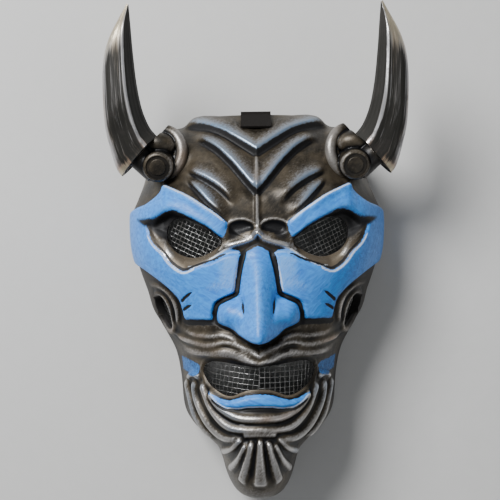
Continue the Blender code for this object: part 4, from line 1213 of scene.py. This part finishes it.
def blend(share, a, b):
    """A colour between two."""
    a, b = ((*given, 1.0) if isinstance(given, tuple) else given for given in (a, b))
    return put(share.id_data, "ShaderNodeMix", {0: share, 6: a, 7: b}, data_type="RGBA").outputs[2]


def between(share, a, b):
    """A number between two."""
    return put(share.id_data, "ShaderNodeMix", {0: share, 2: a, 3: b}, data_type="FLOAT").outputs[0]


def cloud(vector, scale, detail=3.0, rough=0.55, warp=0.0):
    """Noise, with its scale in cells a metre."""
    given = {"Vector": vector, "Scale": scale, "Detail": detail, "Roughness": rough, "Distortion": warp}
    return put(vector.id_data, "ShaderNodeTexNoise", given).outputs["Fac"]


def ragged(where, scale, reach):
    """Noise that wanders both ways about zero."""
    return times(sums("SUBTRACT", cloud(where, scale), 0.5), reach)


def turned(vector, stretch, angle=0.0):
    """Coordinates for a pattern that is stretched along its own axes, then turned."""
    given = {"Vector": vector, "Scale": stretch, "Rotation": (0.0, 0.0, angle)}
    return put(vector.id_data, "ShaderNodeMapping", given, vector_type="TEXTURE").outputs["Vector"]


def field(where, name):
    """A value that the mesh carries, for the paint that where belongs to."""
    node = put(where.id_data, "ShaderNodeAttribute", attribute_name=name, attribute_type="GEOMETRY")
    return node.outputs["Fac"]


def group(name, numbers, outputs):
    """Starts a node group: a vector and those numbers go in, and numbers come out."""
    made = bpy.data.node_groups.new(name, "ShaderNodeTree")
    made.interface.new_socket("Vector", in_out="INPUT", socket_type="NodeSocketVector")
    for label, start in numbers.items():
        made.interface.new_socket(label, in_out="INPUT", socket_type="NodeSocketFloat").default_value = start
    for label in outputs:
        made.interface.new_socket(label, in_out="OUTPUT", socket_type="NodeSocketFloat")
    entry = made.nodes.new("NodeGroupInput")
    leave = made.nodes.new("NodeGroupOutput")
    return entry.outputs, leave.inputs


def brush_strokes():
    """Short crossed strokes of a flat brush."""
    given, out = group("brush_strokes", {"Scale": 200.0}, ("Value",))
    where = given["Vector"]
    first = cloud(turned(where, (5.0, 1.0, 1.0), 0.7), given["Scale"], 3.0, 0.55, 0.8)
    second = cloud(turned(where, (5.0, 1.0, 1.0), -0.35), given["Scale"], 3.0, 0.55, 0.8)
    patch = ranged(cloud(where, 38.0, 2.0), 0.42, 0.58)
    joined_to(out["Value"], between(patch, first, second))


def dry_brush():
    """Where a nearly dry brush leaves its paint: on the crests, broken up by its bristles."""
    given, out = group("dry_brush", {"Crest": 0.0, "Low": 0.2, "High": 0.9, "Broken": 1.0}, ("Mask",))
    where = given["Vector"]
    bristle = cloud(turned(where, (3.5, 1.0, 1.0), 0.9), 900.0, 5.0, 0.65)
    speck = cloud(where, 1500.0, 2.0, 0.6)
    rough = plus(times(bristle, 0.7), times(speck, 0.3))
    shift = times(sums("SUBTRACT", rough, 0.5), given["Broken"])
    reach = plus(given["Crest"], shift)
    joined_to(out["Mask"], ranged(reach, given["Low"], given["High"]))


def cast_grain():
    """The fine unevenness of cast and painted resin."""
    given, out = group("cast_grain", {"Size": 1.0}, ("Height", "Patch"))
    scaled = {0: given["Vector"], 3: given["Size"]}
    where = put(given["Vector"].id_data, "ShaderNodeVectorMath", scaled, operation="SCALE").outputs[0]
    fine = cloud(where, 1100.0, 4.0, 0.6)
    lumps = cloud(where, 240.0, 3.0, 0.5)
    pits = put(where.id_data, "ShaderNodeTexVoronoi", {"Vector": where, "Scale": 620.0}).outputs["Distance"]
    pit = ranged(pits, 0.0, 0.22, -0.35, 0.0)
    height = plus(times(fine, 0.35), times(lumps, 0.65))
    joined_to(out["Height"], plus(height, pit))
    joined_to(out["Patch"], ranged(cloud(where, 60.0, 4.0, 0.6), 0.35, 0.68))


def used(name, **inputs):
    """Places the node group of that name."""
    node = inputs["Vector"].id_data.nodes.new("ShaderNodeGroup")
    node.node_tree = bpy.data.node_groups[name]
    for label, given in inputs.items():
        joined_to(node.inputs[label], given)
    return node.outputs


def brushed(where, crest, low, high, broken):
    """The mask of dry brushing over a field."""
    return used("dry_brush", Vector=where, Crest=crest, Low=low, High=high, Broken=broken)["Mask"]


def finish_named(name):
    """A new material, its shader and the object's own coordinates."""
    made = bpy.data.materials.new(name)
    made.use_nodes = True
    tree = made.node_tree
    return made, tree.nodes["Principled BSDF"], tree.nodes.new("ShaderNodeTexCoord").outputs["Object"]


def surface(shader, colour, roughness, metallic, height, depth):
    """Feeds a shader, with the height in millimetres as bump."""
    bump = put(shader.id_data, "ShaderNodeBump", {"Height": height, "Strength": 1.0, "Distance": depth * MM})
    given = {"Base Color": colour, "Roughness": roughness, "Metallic": metallic,
             "Normal": bump.outputs["Normal"]}
    for name, value in given.items():
        joined_to(shader.inputs[name], value)


def sheet_coordinates(where):
    """A sheet's own coordinates, whole and as its two numbers."""
    along = put(where.id_data, "ShaderNodeUVMap", uv_map="UVMap").outputs["UV"]
    parts = put(where.id_data, "ShaderNodeSeparateXYZ", {"Vector": along})
    return along, parts.outputs["X"], parts.outputs["Y"]


# Colours, as linear light
BRONZE_DARK = (0.012, 0.010, 0.007)
BRONZE_WARM = (0.070, 0.056, 0.037)
SILVER = (0.60, 0.59, 0.58)
COPPER = (0.40, 0.29, 0.22)
COOL_SILVER = (0.46, 0.50, 0.56)
BLUE_DEEP = (0.026, 0.180, 0.620)
BLUE_BRIGHT = (0.050, 0.345, 0.940)
BLUE_PALE = (0.22, 0.48, 0.92)
EDGE_WHITE = (0.80, 0.86, 0.92)
# Black paint for the lines, and painted shade in the hollows
BLACK_AND_SHADE = (0.006, 0.006, 0.007)
LEDGE_BROWN = (0.13, 0.105, 0.075)
# Painted sheen on the backs of the forehead folds
PAINTED_SHEEN_BLUE = (0.15, 0.31, 0.53)
SIDE_BROWN = (0.016, 0.014, 0.013)
RUBBED_BRONZE = (0.155, 0.125, 0.090)
# Painted shade on the blue
BLUE_PAINTED_SHADE = (0.02, 0.05, 0.14)
LEDGE_SILVER = (0.30, 0.27, 0.22)
INSIDE_BLACK = (0.008, 0.008, 0.008)
HORN_DARK = (0.006, 0.006, 0.005)
HORN_GREY = (0.030, 0.028, 0.024)
HORN_SILVER = (0.60, 0.59, 0.60)
HORN_WARM = (0.58, 0.47, 0.36)
HORN_BASE_BROWN = (0.46, 0.29, 0.19)
HORN_LINE = (0.84, 0.84, 0.85)
HORN_TIP = (0.56, 0.49, 0.36)
HORN_CHIP = (0.03, 0.026, 0.024)
WIRE_BRIGHT = (0.46, 0.46, 0.45)
WIRE_DULL = (0.18, 0.175, 0.165)
WEB_DARK = (0.004, 0.0035, 0.0035)
WEB_BROWN = (0.018, 0.015, 0.013)
WEB_LINT = (0.06, 0.054, 0.048)
FLOOR_LOW = (0.60, 0.60, 0.59)
FLOOR_HIGH = (0.64, 0.64, 0.63)


def metal_coat(where, crest, silvering):
    """Dark bronze paint with silver brushed over its crests and painted shade in its hollows: colour, silver
    mask and height.
    """
    cast = used("cast_grain", Vector=where)
    base = blend(cast["Patch"], BRONZE_DARK, BRONZE_WARM)
    rubbed = brushed(where, crest, -0.25, 0.9, 2.2)
    base = blend(times(rubbed, 0.5), base, RUBBED_BRONZE)
    mask = brushed(where, crest, 0.05, 1.05, 1.6)
    mask = times(mask, silvering)
    tint = ranged(cloud(where, 30.0, 2.0), 0.5, 0.8)
    bright = blend(tint, SILVER, COPPER)
    cool = ranged(cloud(turned(where, (1.0, 1.0, 1.0), 0.3), 24.0, 1.0), 0.56, 0.66)
    bright = blend(cool, bright, COOL_SILVER)
    colour = blend(mask, base, bright)
    # Painted shade: the hollows, and the painted shadow under the forehead folds, darken towards black
    deep = ranged(crest, -0.04, -0.5)
    colour = blend(deep, colour, BLACK_AND_SHADE)
    return colour, mask, cast["Height"]


def painted_resin():
    """The face: bronze and silver carving, blue panels, black lines and a black inside, with painted sheen on
    the forehead folds and painted shade in the hollows and under the folds.
    """
    made, shader, where = finish_named("painted_resin_finish")
    crest, blue, ink_and_shadow = field(where, "crest"), field(where, "blue"), field(where, "ink_and_shadow")
    colour, mask, height = metal_coat(where, crest, field(where, "polish"))
    # Painted sheen: blue-white light brushed over the backs of the forehead folds
    painted_sheen = brushed(where, field(where, "painted_sheen"), 0.2, 1.2, 1.2)
    colour = blend(times(painted_sheen, 0.75), colour, PAINTED_SHEEN_BLUE)
    side = field(where, "side")
    colour = blend(times(side, 0.75), colour, SIDE_BROWN)
    roughness = between(side, between(mask, 0.42, 0.28), 0.62)
    metallic = times(between(mask, 0.40, 0.90), ranged(side, 0.0, 1.0, 1.0, 0.2))

    stroke = used("brush_strokes", Vector=where, Scale=420.0)["Value"]
    paint = blend(ranged(stroke, 0.25, 0.75), BLUE_DEEP, BLUE_BRIGHT)
    pale = brushed(where, field(where, "pale"), 0.35, 1.3, 1.7)
    paint = blend(pale, paint, BLUE_PALE)
    # Painted shade: the blue darkens in the hollows
    paint = blend(times(ranged(crest, -0.1, -0.7), 0.7), paint, BLUE_PAINTED_SHADE)
    covered = ranged(plus(blue, ragged(where, 420.0, 1.4)), -0.1, 0.35)
    colour = blend(covered, colour, paint)
    roughness = between(covered, roughness, ranged(stroke, 0.3, 0.7, 0.46, 0.34))
    metallic = between(covered, metallic, 0.0)

    # Black painted lines, and painted shadow lines under the forehead folds
    line = ranged(plus(ink_and_shadow, ragged(where, 300.0, 1.1)), 1.25, 0.75)
    feather = brushed(where, field(where, "make_up"), 0.26, 0.84, 1.0)
    line = sums("MAXIMUM", line, feather)
    colour = blend(field(where, "ledge"), colour, blend(mask, LEDGE_BROWN, LEDGE_SILVER))
    edge = brushed(where, field(where, "white"), 0.3, 1.0, 0.9)
    colour = blend(times(edge, 0.85), colour, EDGE_WHITE)
    colour = blend(line, colour, BLACK_AND_SHADE)
    within = field(where, "within")
    colour = blend(within, colour, INSIDE_BLACK)
    hidden = sums("MAXIMUM", line, within)
    roughness = between(hidden, roughness, 0.6)
    metallic = times(metallic, sums("SUBTRACT", 1.0, hidden))
    relief_height = plus(height, times(stroke, 0.55), times(line, -0.8), times(mask, 0.7))
    surface(shader, colour, roughness, metallic, relief_height, 0.16)
    shader.inputs["Specular IOR Level"].default_value = 0.4
    return made


def cast_metal():
    """The collars and knuckles, in the face's bronze and silver."""
    made, shader, where = finish_named("collar_finish")
    colour, mask, height = metal_coat(where, field(where, "crest"), 0.42)
    height = plus(height, times(mask, 0.7))
    roughness, metallic = between(mask, 0.40, 0.30), between(mask, 0.40, 0.90)
    surface(shader, colour, roughness, metallic, height, 0.16)
    return made


def silvered_horn():
    """Silver brushed lengthwise over a dark coat, with a horn-coloured tip, a warm base and a painted
    highlight along the outer edge.
    """
    made, shader, where = finish_named("silvered_horn_finish")
    along, round_it, up = sheet_coordinates(where)
    streak = cloud(turned(along, (0.022, 0.38, 1.0)), 1.0, 5.0, 0.62, 0.35)
    fine = cloud(turned(along, (0.006, 0.14, 1.0)), 1.0, 3.0, 0.6)
    wear = plus(times(streak, 0.65), times(fine, 0.35))
    ridge_line = ranged(sums("ABSOLUTE", sums("SUBTRACT", round_it, 0.322)), 0.026, 0.0)
    # Painted highlight along the horn's outer edge
    edge = ranged(round_it, 0.15, 0.03)
    middle = ranged(round_it, 0.34, 0.28)
    tip = times(ranged(up, 0.66, 0.88), middle)
    foot = times(ranged(up, 0.13, 0.03), ranged(round_it, 0.22, 0.12))
    # More silver on the outer face, the raised line, the tip and the base, and the outer edge's painted
    # highlight
    lighter_parts_and_edge_highlight = plus(times(middle, 0.07), times(ridge_line, 0.42), times(edge, 0.34), times(tip, 0.36),
               times(foot, 0.32))
    silver = ranged(plus(wear, lighter_parts_and_edge_highlight), 0.60, 0.94)
    dark = blend(streak, HORN_DARK, HORN_GREY)
    warm = ranged(cloud(turned(along, (0.11, 0.5, 1.0)), 1.0, 2.0), 0.46, 0.7)
    bright = blend(warm, HORN_SILVER, HORN_WARM)
    base_tint = ranged(up, 0.24, 0.02)
    bright = blend(base_tint, bright, HORN_BASE_BROWN)
    bright = blend(times(ridge_line, 0.7), bright, HORN_LINE)
    horn_colour = sums("MAXIMUM", tip, foot)
    bright = blend(horn_colour, bright, HORN_TIP)
    cast = used("cast_grain", Vector=where)
    colour = blend(silver, dark, bright)
    chips = ranged(cast["Patch"], 0.75, 0.95)
    colour = blend(times(chips, 0.4), colour, HORN_CHIP)
    height = plus(times(wear, 1.6), times(cast["Height"], 0.5))
    roughness, metallic = between(silver, 0.58, 0.30), between(silver, 0.0, 0.85)
    surface(shader, colour, roughness, metallic, height, 0.22)
    shader.inputs["Specular IOR Level"].default_value = 0.25
    return made


def screen_wire():
    """Bare wire, dulled in places."""
    made, shader, where = finish_named("screen_wire_finish")
    grain = used("cast_grain", Vector=where, Size=1.6)
    dull = ranged(cloud(where, 130.0, 3.0), 0.4, 0.7)
    colour = blend(dull, WIRE_BRIGHT, WIRE_DULL)
    roughness, metallic = between(dull, 0.30, 0.55), between(dull, 0.95, 0.7)
    surface(shader, colour, roughness, metallic, grain["Height"], 0.04)
    return made


def strap_webbing():
    """Black webbing: a fine weave and a little lint."""
    made, shader, where = finish_named("strap_webbing_finish")
    _, across, run = sheet_coordinates(where)
    warp = sums("SINE", times(across, 19 * math.tau))
    weft = sums("SINE", times(run, 46 * math.tau))
    cross = times(warp, weft)
    woven = plus(times(cross, 0.5), 0.5)
    lint = ranged(cloud(where, 900.0, 4.0, 0.7), 0.56, 0.72)
    colour = blend(woven, WEB_DARK, WEB_BROWN)
    colour = blend(times(lint, 0.25), colour, WEB_LINT)
    height = plus(woven, times(cloud(where, 2200.0, 2.0), 0.25))
    surface(shader, colour, ranged(woven, 0.0, 1.0, 0.95, 0.78), 0.0, height, 0.30)
    shader.inputs["Specular IOR Level"].default_value = 0.2
    return made


def pale_floor():
    """A matt studio floor."""
    made, shader, where = finish_named("pale_floor")
    grain = cloud(where, 90.0, 4.0)
    colour = blend(grain, FLOOR_LOW, FLOOR_HIGH)
    surface(shader, colour, ranged(grain, 0.3, 0.7, 0.72, 0.8), 0.0, grain, 0.1)
    return made


def dress(obj, finish, slot_name, *nodes):
    """Gives a piece its finish and its body, and hides the nodes that it stands for; the slot name is not
    used.
    """
    obj.data.materials.clear()
    obj.data.materials.append(finish)
    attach(obj, "root")
    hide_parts(*nodes)


def dress_pair(obj, mirrored_name, finish, slot_name, node, other_node):
    """Dresses a piece and its mirrored copy."""
    dress(obj, finish, slot_name, node)
    dress(opposite(obj, mirrored_name), finish, slot_name, other_node)


def stage():
    """A pale floor, soft light from the upper left and a camera over the mask."""
    select_none()
    bpy.ops.mesh.primitive_plane_add(size=8.0, location=(0, 0, 0))
    floor = bpy.context.object
    floor.name = "floor"
    floor.data.materials.append(pale_floor())
    lamps = (("key", (-0.75, 0.85, 1.25), 0.8, 46.0), ("fill", (0.9, -0.6, 1.2), 1.4, 3.5))
    for name, place, size, power in lamps:
        light = bpy.data.lights.new(name, "AREA")
        light.shape = "DISK"
        light.size = size
        light.energy = power
        lamp = linked(name, light)
        lamp.location = place
        lamp.rotation_euler = (-Vector(place)).to_track_quat("-Z", "Y").to_euler()
    world = bpy.data.worlds.new("studio")
    world.use_nodes = True
    world.node_tree.nodes["Background"].inputs["Color"].default_value = (0.75, 0.78, 0.82, 1.0)
    world.node_tree.nodes["Background"].inputs["Strength"].default_value = 0.21
    bpy.context.scene.world = world
    lens = bpy.data.cameras.new("view")
    lens.angle = 2 * math.atan(250 / 1200)
    lens.dof.use_dof = False
    camera = linked("view", lens)
    camera.location = (-0.0052, 0.0045, 0.9)
    camera.rotation_euler = (0.0, 0.0, -0.0125)
    bpy.context.scene.camera = camera


def main():
    stage()
    brush_strokes()
    dry_brush()
    cast_grain()
    paint = painted_resin()
    knuckle = cast_metal()
    silver = silvered_horn()
    wire = screen_wire()
    webbing = strap_webbing()
    dress(mask_face(), paint, "painted_resin", "mask_shell")
    dress_pair(horn_seat(), "horn_seat_left", knuckle, "painted_resin", "mask_shell", "mask_shell")
    horn = silvered_horn_right()
    dress_pair(horn, "horn_left_silvered", silver, "silvered_horn", "horn_right", "horn_left")
    wall = WALL + SCREEN_GAP + WIRE_STAND_OFF
    eye = on_skin(grown(closed_line(EYE_HOLE, 2), SCREEN_LAP))
    woven = wires("eye_wire_right", eye, (48.0, 12.0), (math.radians(24), math.radians(-66)), 3.0, wall)
    dress_pair(woven, "eye_wire_left", wire, "screen_wire", "eye_screen_right", "eye_screen_left")
    vent = on_skin([VENT_CENTRE])[0]
    turns = np.linspace(0.0, math.tau, 40, endpoint=False)
    oval = (np.array(VENT_RADII) + SCREEN_LAP) * np.column_stack([np.cos(turns), np.sin(turns)])
    woven = wires("vent_wire_right", oval + vent, vent, (0.2, 0.2 + math.pi / 2), 3.0, wall)
    dress_pair(woven, "vent_wire_left", wire, "screen_wire", "vent_screen_right", "vent_screen_left")
    lips = grown(mouth_outline(2), SCREEN_LAP)
    half = on_skin(np.abs(lips) * (1, -1))
    mouth = half * np.stack([np.sign(lips[:, 0] + 1e-9), np.ones(len(lips))], axis=1)
    left = wires("mouth_wire_left", mouth, (-18.0, -82.0), (-0.12, math.pi / 2 - 0.16), 3.6, wall, (-1, -0.6))
    right = wires("mouth_wire_right", mouth, (18.0, -82.0), (0.02, math.pi / 2), 3.6, wall, (1, -0.6))
    for obj in (left, right):
        dress(obj, wire, "screen_wire", "mouth_screen")
    dress(strap_tab(), webbing, "strap_webbing", "strap_tab")


main()
